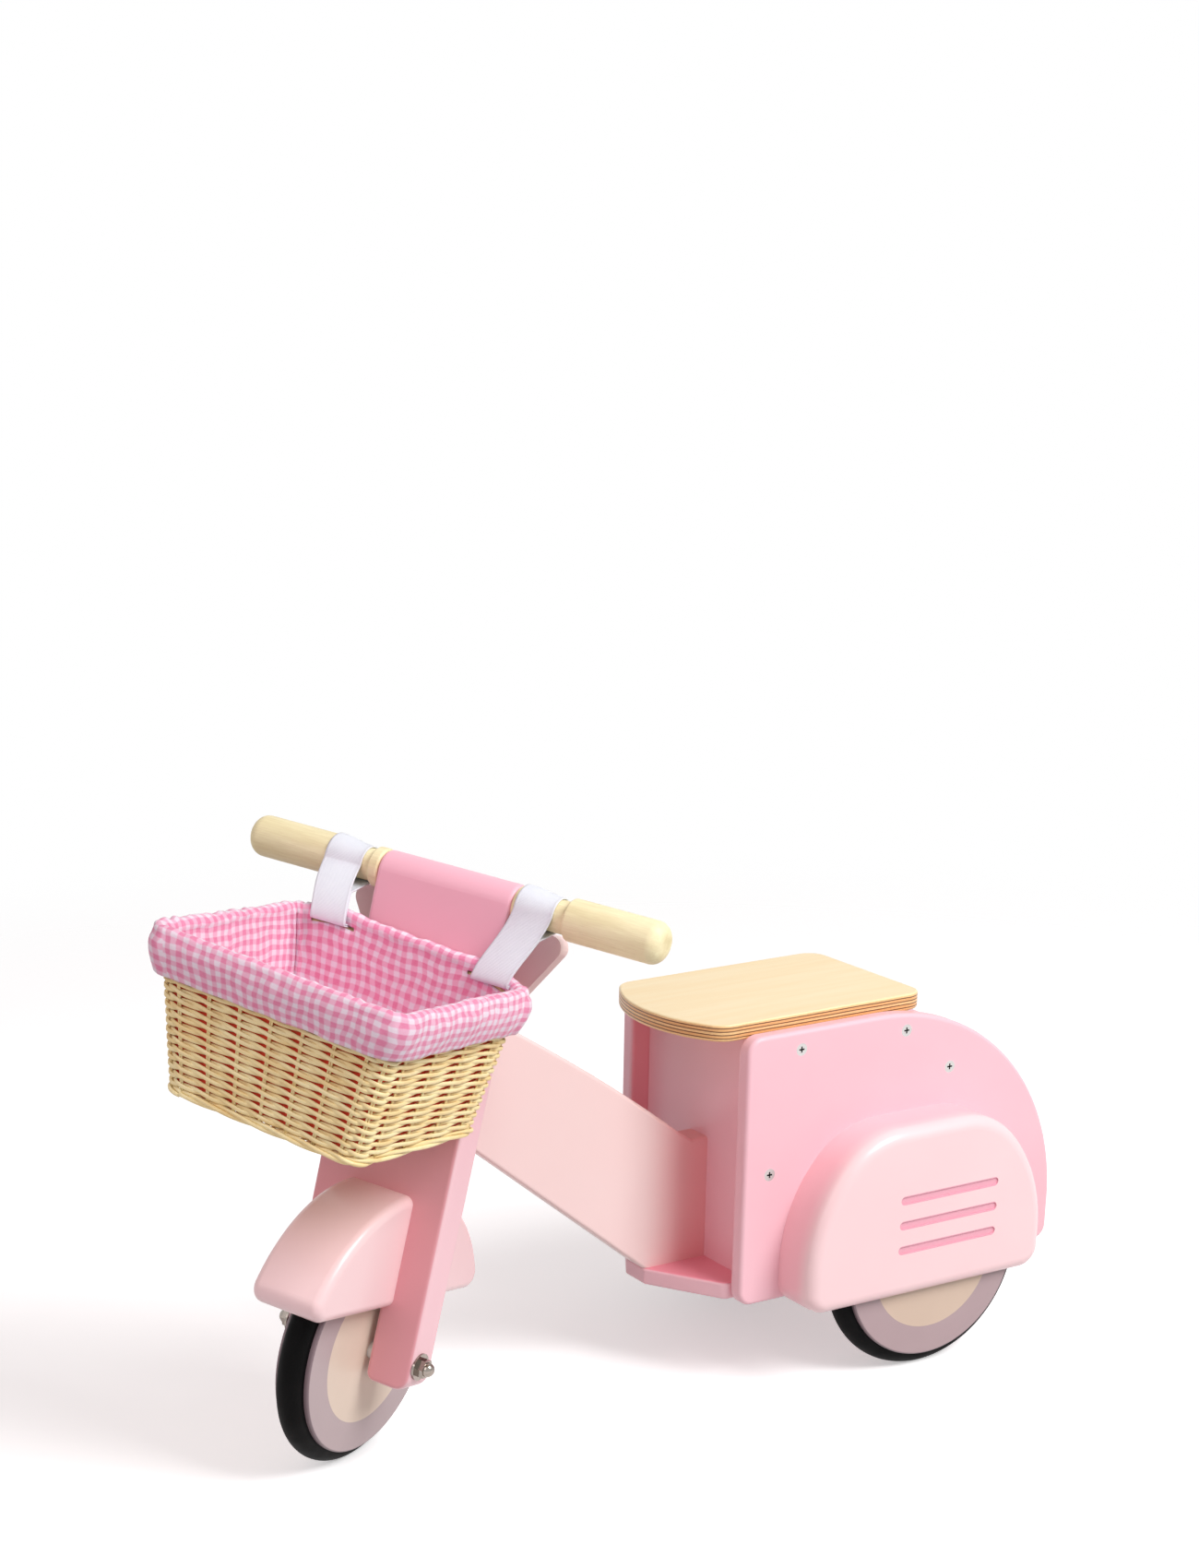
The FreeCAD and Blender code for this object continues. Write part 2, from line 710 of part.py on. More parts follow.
def handle():
    """The left handle: tenon, ring, neck and grip, turned about the handles' axis."""

    def turned_plane(radius, station):
        return vector(fork_middle + radius, station, bar_height)

    outline = rounded([(0, tenon_start, 0), (tenon_radius, tenon_start, 0),
                       (tenon_radius, fork_half_width, 0),
                       (ring_radius, fork_half_width, ring_shoulder_round),
                       (ring_radius, ring_end, ring_shoulder_round),
                       (neck_radius, ring_end, 0), (neck_radius, neck_end, 0),
                       (grip_radius, neck_end, ring_shoulder_round),
                       (grip_radius, grip_end, grip_nose_round), (0, grip_end, 0)], turned_plane)
    return Part.Face(outline).revolve(vector(fork_middle, 0, bar_height), Y, 360)


def mudguard(side):
    """Half of the mudguard, in front of the fork board or, with side -1, behind it."""
    face = fork_front if side > 0 else -fork_back
    outer = rod(guard_radius, Y * -guard_half_width, Y * guard_half_width)
    keep = block(vector(face, -guard_half_width, guard_bottom),
                 vector(guard_radius + overrun, guard_half_width, guard_radius + overrun))
    guard = outer.common(keep)
    tip = [edge for edge in edges_on(guard, "z", guard_bottom) if edge.CenterOfMass.x > face + overrun
           and abs(edge.CenterOfMass.y) < same_place]
    guard = guard.makeFillet(guard_tip_round, tip)
    rims = [edge for edge in edges_on(guard, "y", guard_half_width) + edges_on(guard, "y", -guard_half_width)
            if edge.CenterOfMass.x > face + same_place]
    guard = guard.makeFillet(guard_edge_round, rims)
    guard = guard.cut(rod(guard_hollow_radius, Y * -guard_hollow_half_width, Y * guard_hollow_half_width))
    if side < 0:
        guard = guard.mirror(ORIGIN, X)
    return guard


axle_washer_end = fork_half_width + axle_washer_thickness
nut_end = axle_washer_end + nut_height


def front_axle():
    end = nut_end + axle_into_dome
    return rod(axle_radius, Y * -end, Y * end)


def front_spacers():
    start = disc_width / 2 + bush_proud + wheel_side_gap
    end = fork_slot_half_width
    spacer = tube(bush_radius, axle_radius + running_gap, Y * start, Y * end)
    return Part.makeCompound([spacer, mirrored(spacer)])


def axle_washers():
    washer = tube(axle_washer_radius, axle_radius + running_gap, Y * fork_half_width, Y * axle_washer_end)
    return Part.makeCompound([washer, mirrored(washer)])


def dome_nut():
    """The left cap nut: a hexagon with a dome over the axle's end."""
    nut = hexagon(nut_across, Y * axle_washer_end, Y * nut_end)
    dome = Part.makeSphere(dome_radius, Y * nut_end, Y, 0, 90, 360)
    end = nut_end + axle_into_dome
    return nut.fuse(dome).cut(rod(axle_radius, Y * fork_half_width, Y * end))


def steering_lug(low):
    """A tongue on the fork board's back that reaches round the steering bolt."""
    outline = rounded([(fork_back, -lug_half_width, 0),
                       (fork_back, lug_half_width, 0),
                       (-steering_offset - lug_half_width, lug_half_width, lug_half_width - same_place),
                       (-steering_offset - lug_half_width, -lug_half_width, lug_half_width - same_place)],
                      floor_plane)
    lug = prism(outline, Z * low, Z * lug_thickness)
    bolt = vector(-steering_offset, 0, low)
    return lug.cut(rod(bolt_radius + running_gap, bolt - Z * overrun, bolt + Z * (lug_thickness + overrun)))


lower_lug_low = head_low - lug_gap - lug_thickness
upper_lug_high = head_high + lug_gap + lug_thickness
bolt_under_head = upper_lug_high + bolt_washer_thickness
bolt_nut_top = lower_lug_low - bolt_washer_thickness


def bolt_point(up):
    return vector(-steering_offset, 0, up)


def steering_bolt():
    low = bolt_nut_top - bolt_head_height - bolt_below_nut
    shank = rod(bolt_radius, bolt_point(low), bolt_point(bolt_under_head))
    head = hexagon(bolt_head_across, bolt_point(bolt_under_head), bolt_point(bolt_under_head + bolt_head_height))
    return shank.fuse(head)


def steering_washers():
    upper = tube(bolt_washer_radius, bolt_radius + running_gap, bolt_point(upper_lug_high),
                 bolt_point(bolt_under_head))
    lower = tube(bolt_washer_radius, bolt_radius + running_gap, bolt_point(bolt_nut_top),
                 bolt_point(lower_lug_low))
    return Part.makeCompound([upper, lower])


def steering_nut():
    nut = hexagon(bolt_head_across, bolt_point(bolt_nut_top - bolt_head_height), bolt_point(bolt_nut_top))
    return nut.cut(rod(bolt_radius, bolt_point(bolt_nut_top - 2 * bolt_head_height), bolt_point(lower_lug_low)))


def basket_solid(grow, low, high):
    """A tapering block between two heights, its sides moved out by grow from the wall's middle."""
    wires = []
    for height in (low, high):
        share = -height / basket_height
        half_depth = (rim_depth + (base_depth - rim_depth) * share) / 2 + grow
        half_width = (rim_width + (base_width - rim_width) * share) / 2 + grow
        corner = basket_corner + grow
        wire = rounded([(-half_depth, -half_width, corner), (half_depth, -half_width, corner),
                        (half_depth, half_width, corner), (-half_depth, half_width, corner)], floor_plane)
        wire.translate(Y * base_aside * share + Z * height)
        wires.append(wire)
    return Part.makeLoft(wires, True, True)


# How the basket hangs, as a placement in the fork frame
basket_hang = FreeCAD.Placement(vector(basket_forward, basket_left, basket_up),
                                FreeCAD.Rotation(basket_yaw, basket_pitch, basket_roll))


def slit_middle(side):
    """The middle of a strap's slit in the back wall, in the basket's frame."""
    share = slit_below_rim / basket_height
    back = -(rim_depth + (base_depth - rim_depth) * share) / 2
    return vector(back, side * slit_place + slit_shift, -slit_below_rim)


def slits():
    """Cutters for both slits."""
    half = vector(strap_inside, strap_width / 2 + slit_margin, slit_height / 2)
    return Part.makeCompound([block(slit_middle(side) - half, slit_middle(side) + half)
                              for side in (-1, 1)])


def basket_wicker():
    """The woven shell, one wall and a floor."""
    shell = basket_solid(wicker_half_wall, -basket_height, 0)
    hollow = basket_solid(-wicker_half_wall, -basket_height + wicker_floor, overrun)
    return shell.cut(hollow).cut(slits())


def basket_liner():
    """The cloth inside the basket, folded over the rim into a cuff outside it."""
    inside = -wicker_half_wall - loose_gap
    outside = wicker_half_wall + loose_gap
    floor = -basket_height + wicker_floor + loose_gap
    cuff = basket_solid(outside + cuff_cloth, -cuff_height, loose_gap + cuff_cloth)
    cuff = cuff.cut(basket_solid(outside, -cuff_height - overrun, loose_gap))
    bag = basket_solid(inside, floor, loose_gap + cuff_cloth)
    hollow = basket_solid(inside - cloth, floor + cloth, overrun)
    return cuff.fuse(bag).cut(hollow).cut(slits())


def belt(circles):
    """The outline drawn tight round circles, given anticlockwise as (x, z, radius)."""

    def rim(circle, angle):
        x, z, radius = circle
        return side_plane(x + radius * math.cos(angle), z + radius * math.sin(angle))

    normals = []
    for index, (x, z, radius) in enumerate(circles):
        next_x, next_z, next_radius = circles[(index + 1) % len(circles)]
        span = math.hypot(next_x - x, next_z - z)
        heading = math.atan2(next_z - z, next_x - x)
        normals.append(heading - math.pi / 2 + math.asin((radius - next_radius) / span))
    edges = []
    for index, circle in enumerate(circles):
        arrive = normals[index - 1]
        leave = normals[index]
        middle = arrive + ((leave - arrive) % (2 * math.pi)) / 2
        edges.append(Part.Arc(rim(circle, arrive), rim(circle, middle), rim(circle, leave)).toShape())
        follow = circles[(index + 1) % len(circles)]
        edges.append(Part.LineSegment(rim(circle, leave), rim(follow, leave)).toShape())
    return Part.Wire(edges)


def strap(side):
    """A loop round the handle's neck whose doubled tail goes into the basket and out of a slit."""
    slit = basket_hang.multVec(slit_middle(side))
    tail = slit.x + strap_inside
    join = slit.z + slit_below_rim + strap_above_rim
    loops = []
    for thickness in (0, strap_thickness):
        circles = [(fork_middle, bar_height, neck_radius + loose_gap + thickness),
                   (tail, join, strap_fold_radius + thickness)]
        loops.append(Part.Face(belt(circles)))
    band = loops[1].cut(loops[0]).Faces[0]
    band.translate(Y * (side * strap_place - strap_width))
    band = band.extrude(Y * 2 * strap_width)
    low = vector(tail - strap_thickness, side * strap_place - strap_width, slit.z - strap_thickness)
    high = vector(tail + strap_thickness, side * strap_place + strap_width, join - strap_fold_radius)
    through = vector(slit.x - strap_outside, low.y, low.z)
    band = band.fuse(block(low, high)).fuse(block(through, vector(tail, high.y, slit.z + strap_thickness)))
    half = strap_width / 2
    top = bar_height + 2 * neck_radius
    bottom = slit.z - slit_height
    front = rounded([(side * strap_place - half, bar_height - neck_radius, 0), (slit.y - half, bottom, 0),
                     (slit.y + half, bottom, 0), (side * strap_place + half, bar_height - neck_radius, 0),
                     (side * strap_place + half, top, 0), (side * strap_place - half, top, 0)], front_plane)
    depth = X * (basket_forward + fork_thickness)
    return band.common(prism(front, X * 2 * fork_back, depth))


def build():
    """Every node's shape, in the body frame."""
    fixed = {
        "side_panel_left": side_panel(),
        "front_wall": front_wall(),
        "rear_wall": rear_wall(),
        "seat_board": seat_board(),
        "seat_batten_left": seat_batten(),
        "floor_plate": floor_plate(),
        "main_beam": main_beam(),
        "beam_bolts": beam_bolts(),
        "side_pod_left": side_pod(),
        "rear_axle": rear_axle(),
        "rear_washers": rear_washers(),
        "rear_axle_caps": rear_axle_caps(),
        "panel_screws_left": finished_screws(panel_screw_places, -Y),
        "steering_bush": steering_bush(),
    }
    steered = {
        "fork_board": fork_board(),
        "yoke_board": yoke_board(),
        "yoke_screws": finished_screws(yoke_screw_places, X),
        "handle_left": handle(),
        "mudguard_front": mudguard(1),
        "mudguard_rear": mudguard(-1),
        "front_axle": front_axle(),
        "front_spacers": front_spacers(),
        "axle_washers": axle_washers(),
        "dome_nut_left": dome_nut(),
        "steering_lug_lower": steering_lug(lower_lug_low),
        "steering_lug_upper": steering_lug(upper_lug_high - lug_thickness),
        "steering_bolt": steering_bolt(),
        "steering_washers": steering_washers(),
        "steering_nut": steering_nut(),
    }
    basket = {
        "basket_wicker": basket_wicker(),
        "basket_liner": basket_liner(),
    }
    for pieces in (fixed, steered):
        for name in [name for name in pieces if name.endswith("_left")]:
            pieces[name.replace("_left", "_right")] = mirrored(pieces[name])
    wheel = {"disc": wheel_disc(), "tyre": tyre(), "bush": wheel_bush()}
    for name, shape in wheel.items():
        steered["front_wheel_" + name] = shape.copy()
        for side, word in ((1, "left"), (-1, "right")):
            turned_wheel = shape.copy()
            turned_wheel.translate(vector(0, side * rear_wheel_middle, tyre_radius))
            fixed["rear_wheel_" + name + "_" + word] = turned_wheel
    for name, shape in basket.items():
        shape.Placement = basket_hang.multiply(shape.Placement)
        steered[name] = shape
    steered["strap_left"] = strap(1)
    steered["strap_right"] = strap(-1)
    for name, shape in steered.items():
        shape.Placement = fork_rest.multiply(shape.Placement)
        fixed[name] = shape
    return fixed


# The fork frame's place at rest: leaned back by the rake and turned to the left
fork_turn = FreeCAD.Rotation(-Y, rake).multiply(FreeCAD.Rotation(Z, turned))
fork_rest = FreeCAD.Placement(foot + fork_turn.multVec(X) * steering_offset, fork_turn)

# The middle of a grip's straight stretch
grip_middle = (neck_end + ring_shoulder_round + grip_end - grip_nose_round) / 2


def main():
    shapes = build()
    whole = Part.makeCompound(list(shapes.values())).optimalBoundingBox()
    centre = whole.Center
    shift = vector(-centre.x, -centre.y, -whole.ZMin)
    os.makedirs("parts", exist_ok=True)
    for name, shape in shapes.items():
        shape.translate(shift)
        if not shape.isValid() or shape.Volume <= 0:
            print("not sound:", name)
        shape.exportStep("parts/" + name + ".step")
    fork_placement = FreeCAD.Placement(shift, FreeCAD.Rotation()).multiply(fork_rest)
    places = {
        "steering": (foot + shift, axis_up),
        "front wheel": (fork_placement.multVec(ORIGIN), fork_turn.multVec(Y)),
        "rear wheel left": (vector(0, rear_wheel_middle, tyre_radius) + shift, Y),
        "rear wheel right": (vector(0, -rear_wheel_middle, tyre_radius) + shift, Y),
        "handle axis": (fork_placement.multVec(vector(fork_middle, 0, bar_height)), fork_turn.multVec(Y)),
        "grip left": (fork_placement.multVec(vector(fork_middle, grip_middle, bar_height)),
                      fork_turn.multVec(Y)),
        "grip right": (fork_placement.multVec(vector(fork_middle, -grip_middle, bar_height)),
                       fork_turn.multVec(-Y)),
        "seat": (vector((seat_front + seat_rear) / 2, 0, seat_top) + shift, Z),
        "basket rim": (fork_placement.multVec(basket_hang.Base), fork_turn.multVec(Z)),
    }
    print("box", whole.XLength, whole.YLength, whole.ZLength, "shift", tuple(shift))
    for name, (place, axis) in places.items():
        print(name, [round(value, 3) for value in place], [round(value, 6) for value in axis])


main()
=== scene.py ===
"""Looks of the wooden ride-on scooter: painted boards, plywood seat, disc wheels, turned handles,
a woven cane basket with its checked liner, and the two straps that hang it from the handles.

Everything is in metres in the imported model's frame. The basket and the straps are shaped in
millimetres in a frame of their own and then moved into place.
"""
import bpy
import bmesh
import json
import math
from mathutils import Matrix, Vector, geometry, noise


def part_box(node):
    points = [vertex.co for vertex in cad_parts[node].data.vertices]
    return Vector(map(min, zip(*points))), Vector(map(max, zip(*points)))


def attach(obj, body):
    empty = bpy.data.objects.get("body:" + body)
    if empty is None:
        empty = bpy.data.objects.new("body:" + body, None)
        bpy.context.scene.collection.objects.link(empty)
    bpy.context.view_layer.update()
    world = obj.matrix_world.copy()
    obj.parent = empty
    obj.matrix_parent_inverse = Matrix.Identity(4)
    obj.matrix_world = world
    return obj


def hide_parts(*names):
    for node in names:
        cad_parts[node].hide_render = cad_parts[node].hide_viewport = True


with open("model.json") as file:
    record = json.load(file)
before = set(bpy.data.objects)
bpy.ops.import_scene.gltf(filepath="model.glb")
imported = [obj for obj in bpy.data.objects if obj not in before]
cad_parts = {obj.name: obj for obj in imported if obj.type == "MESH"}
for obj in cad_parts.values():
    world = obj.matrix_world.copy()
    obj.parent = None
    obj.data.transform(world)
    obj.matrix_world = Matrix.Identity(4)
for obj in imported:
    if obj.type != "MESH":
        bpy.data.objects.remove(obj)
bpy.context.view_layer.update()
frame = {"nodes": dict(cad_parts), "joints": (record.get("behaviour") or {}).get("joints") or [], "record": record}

MM = 0.001

# Sizes and places that the solids have, in millimetres
fork_middle = -3.9
fork_front = 10.8
bar_height = 347.6
neck_radius = 12.0
pod_outside = 129.0
louvre_front = 45.0
louvre_rear = -53.0
louvre_middle = 132.0
louvre_pitch = 21.0
band_half = 3.8             # of the deeper paint along each groove
disc_ring = 58.0            # radius where a wheel's cream middle meets its mauve ring
disc_lip = 80.4             # and where its rounded lip starts
seat_thickness = 13.4
rim_width = 195.4
rim_depth = 174.8
base_width = 156.4
base_depth = 161.5
base_aside = 8.2
set_back = -3.0            # of the wall below the cuff
rim_skew = 3.7             # of the rim's front to the right, and of its back to the left
base_skew = 2.0
basket_height = 112.7
basket_corner = 11.0
basket_forward = 110.4
basket_left = -7.5
basket_up = 296.3
basket_yaw = 4.7
basket_pitch = 4.0
basket_roll = -4.4
cuff_height = 32.1
ring_radius = 14.9
ring_end = 66.0
grip_radius = 15.5
neck_end = 99.0
slit_places = {1: 72.7, -1: -57.3}

joints = {joint["name"]: joint for joint in frame["joints"]}


def joint_at(name):
    return Vector(joints[name]["pos_m"])


def joint_axis(name):
    return Vector(joints[name]["axis"]).normalized()


# The fork's frame: its origin in the front wheel, X ahead, Y along the axle, Z up the steering axis
fork_up = joint_axis("steering")
fork_left = joint_axis("front_wheel_spin")
fork_ahead = fork_left.cross(fork_up)
fork_frame = (Matrix.Translation(joint_at("front_wheel_spin"))
              @ Matrix((fork_ahead, fork_left, fork_up)).transposed().to_4x4()
              @ Matrix.Scale(MM, 4))

# The basket's frame: its origin in the middle of the rim, X ahead, Z up out of it
basket_in_fork = (Matrix.Translation((basket_forward, basket_left, basket_up))
                  @ Matrix.Rotation(math.radians(basket_yaw), 4, "Z")
                  @ Matrix.Rotation(math.radians(basket_pitch), 4, "Y")
                  @ Matrix.Rotation(math.radians(basket_roll), 4, "X"))
basket_frame = fork_frame @ basket_in_fork

rear_wheel = joint_at("rear_wheel_left_spin")
body_middle = (rear_wheel.y + joint_at("rear_wheel_right_spin").y) / 2
axle_floor = Vector((rear_wheel.x, body_middle, 0))


def screen_colour(red, green, blue):
    """A colour as a screen shows it, 0 to 255, made linear for a shader."""
    def linear(value):
        share = value / 255
        return share / 12.92 if share <= 0.04045 else ((share + 0.055) / 1.055) ** 2.4
    return (linear(red), linear(green), linear(blue), 1.0)


def drift(x, y, z):
    """A smooth random number for a place."""
    return noise.noise(Vector((x, y, z)))


def within_one(value):
    return min(1.0, max(0.0, value))


def placed(name, data):
    """A new object in the scene."""
    made = bpy.data.objects.new(name, data)
    bpy.context.scene.collection.objects.link(made)
    return made


def meshed(name, shape):
    """A mesh of a shape, which is used up."""
    mesh = bpy.data.meshes.new(name)
    shape.to_mesh(mesh)
    shape.free()
    return mesh


class Finish:
    """A material, with short ways to make the steps of its pattern."""

    def __init__(self, name, **sockets):
        self.material = bpy.data.materials.new(name)
        self.material.use_nodes = True
        self.tree = self.material.node_tree
        self.shader = self.tree.nodes["Principled BSDF"]
        self.place = self.node("ShaderNodeTexCoord").outputs["Object"]
        for socket, value in sockets.items():
            self.shader.inputs[socket.replace("_", " ")].default_value = value

    def node(self, kind, **settings):
        made = self.tree.nodes.new(kind)
        for setting, value in settings.items():
            setattr(made, setting, value)
        return made

    def feed(self, socket, value):
        """Puts a number, a colour or another step's output into a socket."""
        if isinstance(value, bpy.types.NodeSocket):
            self.tree.links.new(value, socket)
        else:
            socket.default_value = value

    def step(self, kind, *values, **settings):
        """Adds a step, feeds its sockets in order and gives its outputs."""
        made = self.node(kind, **settings)
        for socket, value in zip(made.inputs, values):
            self.feed(socket, value)
        return made.outputs

    def sum(self, operation, *values):
        return self.step("ShaderNodeMath", *values, operation=operation)[0]

    def vector(self, operation, *values):
        outputs = self.step("ShaderNodeVectorMath", *values, operation=operation)
        return outputs["Value" if operation in ("DOT_PRODUCT", "LENGTH") else "Vector"]

    def split(self, vector):
        return self.step("ShaderNodeSeparateXYZ", vector)

    def join(self, x, y, z):
        return self.step("ShaderNodeCombineXYZ", x, y, z)[0]

    def measured_from(self, origin):
        return self.vector("SUBTRACT", self.place, tuple(origin))

    def off_middle(self, value):
        """How far the value's fraction is from a half."""
        return self.sum("ABSOLUTE", self.sum("SUBTRACT", self.sum("FRACT", value), 0.5))

    def along(self, axes, origin):
        """The place measured along three axes from an origin."""
        moved = self.measured_from(origin)
        return self.join(*[self.vector("DOT_PRODUCT", moved, tuple(axis)) for axis in axes])

    def noise(self, vector, scale, detail=2.0, roughness=0.5):
        """Noise at a scale, or at one scale along each axis."""
        made = self.node("ShaderNodeTexNoise")
        if isinstance(scale, tuple):
            vector = self.vector("MULTIPLY", vector, scale)
            scale = 1.0
        for name, value in (("Vector", vector), ("Scale", scale), ("Detail", detail), ("Roughness", roughness)):
            self.feed(made.inputs[name], value)
        return made.outputs["Fac"]

    def span(self, value, low, high, to_low=0.0, to_high=1.0, smooth=False):
        """Brings a value from one span to another, and holds it within that."""
        kind = "SMOOTHSTEP" if smooth else "LINEAR"
        return self.step("ShaderNodeMapRange", value, low, high, to_low, to_high, interpolation_type=kind)[0]

    def blend(self, share, first, second):
        """Mixes two colours; three numbers are a colour as a screen shows it."""
        made = self.node("ShaderNodeMix", data_type="RGBA")
        self.feed(made.inputs["Factor"], share)
        colours = [socket for socket in made.inputs if socket.type == "RGBA"]
        for socket, value in zip(colours, (first, second)):
            screen = isinstance(value, tuple) and len(value) == 3
            self.feed(socket, screen_colour(*value) if screen else value)
        return [socket for socket in made.outputs if socket.type == "RGBA"][0]

    def relief(self, height, depth):
        """Raises the surface by a height of 0 to 1 times depth, in metres."""
        made = self.node("ShaderNodeBump")
        self.feed(made.inputs["Height"], height)
        made.inputs["Distance"].default_value = depth
        if self.shader.inputs["Normal"].is_linked:
            self.feed(made.inputs["Normal"], self.shader.inputs["Normal"].links[0].from_socket)
        self.feed(self.shader.inputs["Normal"], made.outputs[0])

    def colour(self, share, first, second):
        self.feed(self.shader.inputs["Base Color"], self.blend(share, first, second))

    def roughness(self, value, low, high, smooth, rough):
        self.feed(self.shader.inputs["Roughness"], self.span(value, low, high, smooth, rough))


def board_paint(name, colour, deeper, gloss=0.15):
    """Satin paint on a board: the colour drifts a little, and faint grain and brush flow show in the gloss."""
    paint = Finish(name, Coat_Weight=gloss, Coat_Roughness=0.2, Specular_IOR_Level=0.3)
    cloud = paint.noise(paint.place, 9.0, 3.0)
    paint.colour(paint.span(cloud, 0.3, 0.7), colour, deeper)
    grain = paint.noise(paint.place, (14.0, 260.0, 30.0), 3.0)
    flow = paint.noise(paint.place, 420.0)
    paint.roughness(flow, 0.2, 0.8, 0.34, 0.44)
    paint.relief(grain, 0.00006)
    paint.relief(flow, 0.00002)
    return paint


def deepened(paint, share, colour):
    """Blends a paint's colour towards another one where share is 1."""
    plain = paint.shader.inputs["Base Color"].links[0].from_socket
    paint.colour(share, plain, colour)


def panel_paint():
    """The side panels' paint, with painted shade: a deeper pink on their inner faces in front of the wall, where
    shade falls.
    """
    paint = board_paint("panel paint", (250, 201, 211), (250, 195, 206))
    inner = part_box("side_panel_left")[0].y - body_middle
    x, y, z = paint.split(paint.measured_from(axle_floor))
    within = paint.span(paint.sum("ABSOLUTE", y), inner + 0.4 * MM, inner + 1.2 * MM, 1.0, 0.0)
    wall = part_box("front_wall")[1].x - axle_floor.x
    in_shaded_nook = paint.span(x, wall - 3 * MM, wall)
    # Painted shade: the inner faces in front of the wall go a deeper pink.
    deepened(paint, paint.sum("MULTIPLY", within, in_shaded_nook), (251, 168, 182))
    return paint


def foot_paint():
    """The beam's paler paint, with painted shade: a deeper pink on its foot near the wall, where shade falls."""
    paint = board_paint("beam paint", (250, 223, 220), (249, 219, 216))
    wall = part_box("front_wall")[1].x
    near = paint.span(paint.split(paint.place)[0], wall + 8 * MM, wall + 62 * MM, 1.0, 0.0, True)
    # Painted shade: the beam goes a deeper pink towards its foot at the wall.
    deepened(paint, near, (247, 178, 180))
    return paint


def plate_paint():
    """The foot plate's paint, with painted shade: a deeper pink on its top, which lies in shade between the
    panels.
    """
    paint = board_paint("plate paint", (252, 205, 214), (251, 199, 209))
    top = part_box("floor_plate")[1].z
    z = paint.split(paint.place)[2]
    # Painted shade: the plate's top goes a deeper pink.
    deepened(paint, paint.span(z, top - 0.8 * MM, top - 0.3 * MM), (245, 158, 174))
    return paint


def head_paint():
    """The fork board's paint: a deeper pink on its front, which is painted shade from the basket above, and a
    deeper pink of its own on the head between the handles.
    """
    pale = (252, 211, 218)
    paint = board_paint("fork paint", pale, (251, 206, 214))
    ahead, left, up = paint.split(paint.along((fork_ahead, fork_left, fork_up), fork_frame.translation))
    front = fork_front * MM
    # Painted shade: the front face goes a deeper pink.
    deepened(paint, paint.span(ahead, front - 1.2 * MM, front - 0.4 * MM), (239, 168, 177))
    head = paint.span(up, (bar_height - 90) * MM, (bar_height - 50) * MM, smooth=True)
    deepened(paint, head, (251, 190, 206))
    return paint


def pod_paint():
    """The pods' paler paint, deeper along their three grooves, and with painted shade: a deeper pink on their
    flanks towards the body near the rear wheels.
    """
    plain = (252, 219, 221)
    paint = board_paint("pod paint", plain, (251, 214, 217), gloss=0.45)
    x, y, z = paint.split(paint.measured_from(axle_floor))
    depth = paint.sum("ABSOLUTE", y)
    beside = paint.sum("ABSOLUTE", paint.sum("SUBTRACT", x, (louvre_front + louvre_rear) / 2 * MM))
    past_end = paint.sum("MAXIMUM", 0.0,
                         paint.sum("SUBTRACT", beside, ((louvre_front - louvre_rear) / 2 - band_half) * MM))
    above = paint.sum("SUBTRACT", z, louvre_middle * MM)
    turn = paint.sum("FRACT", paint.sum("ADD", paint.sum("DIVIDE", above, louvre_pitch * MM), 0.5))
    off_line = paint.sum("MULTIPLY", paint.sum("SUBTRACT", turn, 0.5), louvre_pitch * MM)
    away = paint.vector("LENGTH", paint.join(past_end, off_line, 0.0))
    band = paint.sum("MULTIPLY", paint.span(away, (band_half - 0.15) * MM, (band_half + 0.1) * MM, 1.0, 0.0),
                     paint.sum("GREATER_THAN", depth, (pod_outside - 2.5) * MM))
    near = paint.sum("LESS_THAN", paint.sum("ABSOLUTE", above), louvre_pitch * 1.4 * MM)
    # Painted shade: near the rear wheels the flanks go a deeper pink towards the body.
    shade_towards_body = paint.span(depth, (pod_outside - 22) * MM, (pod_outside - 5) * MM, 1.0, 0.0, True)
    painted_shade_flank = paint.sum("MULTIPLY", shade_towards_body, paint.sum("LESS_THAN", x, 150 * MM))
    deepened(paint, painted_shade_flank, (252, 198, 206))
    deepened(paint, paint.sum("MULTIPLY", band, near), (239, 172, 189))
    return paint


def grain_wood(name, axes, origin, pale, deep, darker_ends=0.0):
    """Sanded pale wood with its grain along the first axis."""
    wood = Finish(name)
    here = wood.along(axes, origin)
    figure = wood.noise(here, (9.0, 90.0, 90.0), 4.0, 0.6)
    fibres = wood.noise(here, (60.0, 1500.0, 1500.0), 3.0, 0.6)
    pores = wood.noise(here, (110.0, 2600.0, 2600.0), 1.0)
    tone = wood.blend(wood.span(figure, 0.35, 0.7), pale, deep)
    fleck = wood.span(pores, 0.68, 0.8, 0.0, 0.35)
    tone = wood.blend(fleck, tone, (176, 140, 96))
    wood.colour(wood.span(fibres, 0.45, 0.75, 0.0, 0.25), tone, (206, 176, 130))
    wood.roughness(fibres, 0.3, 0.7, 0.5, 0.62)
    wood.relief(fibres, 0.00008)
    return wood


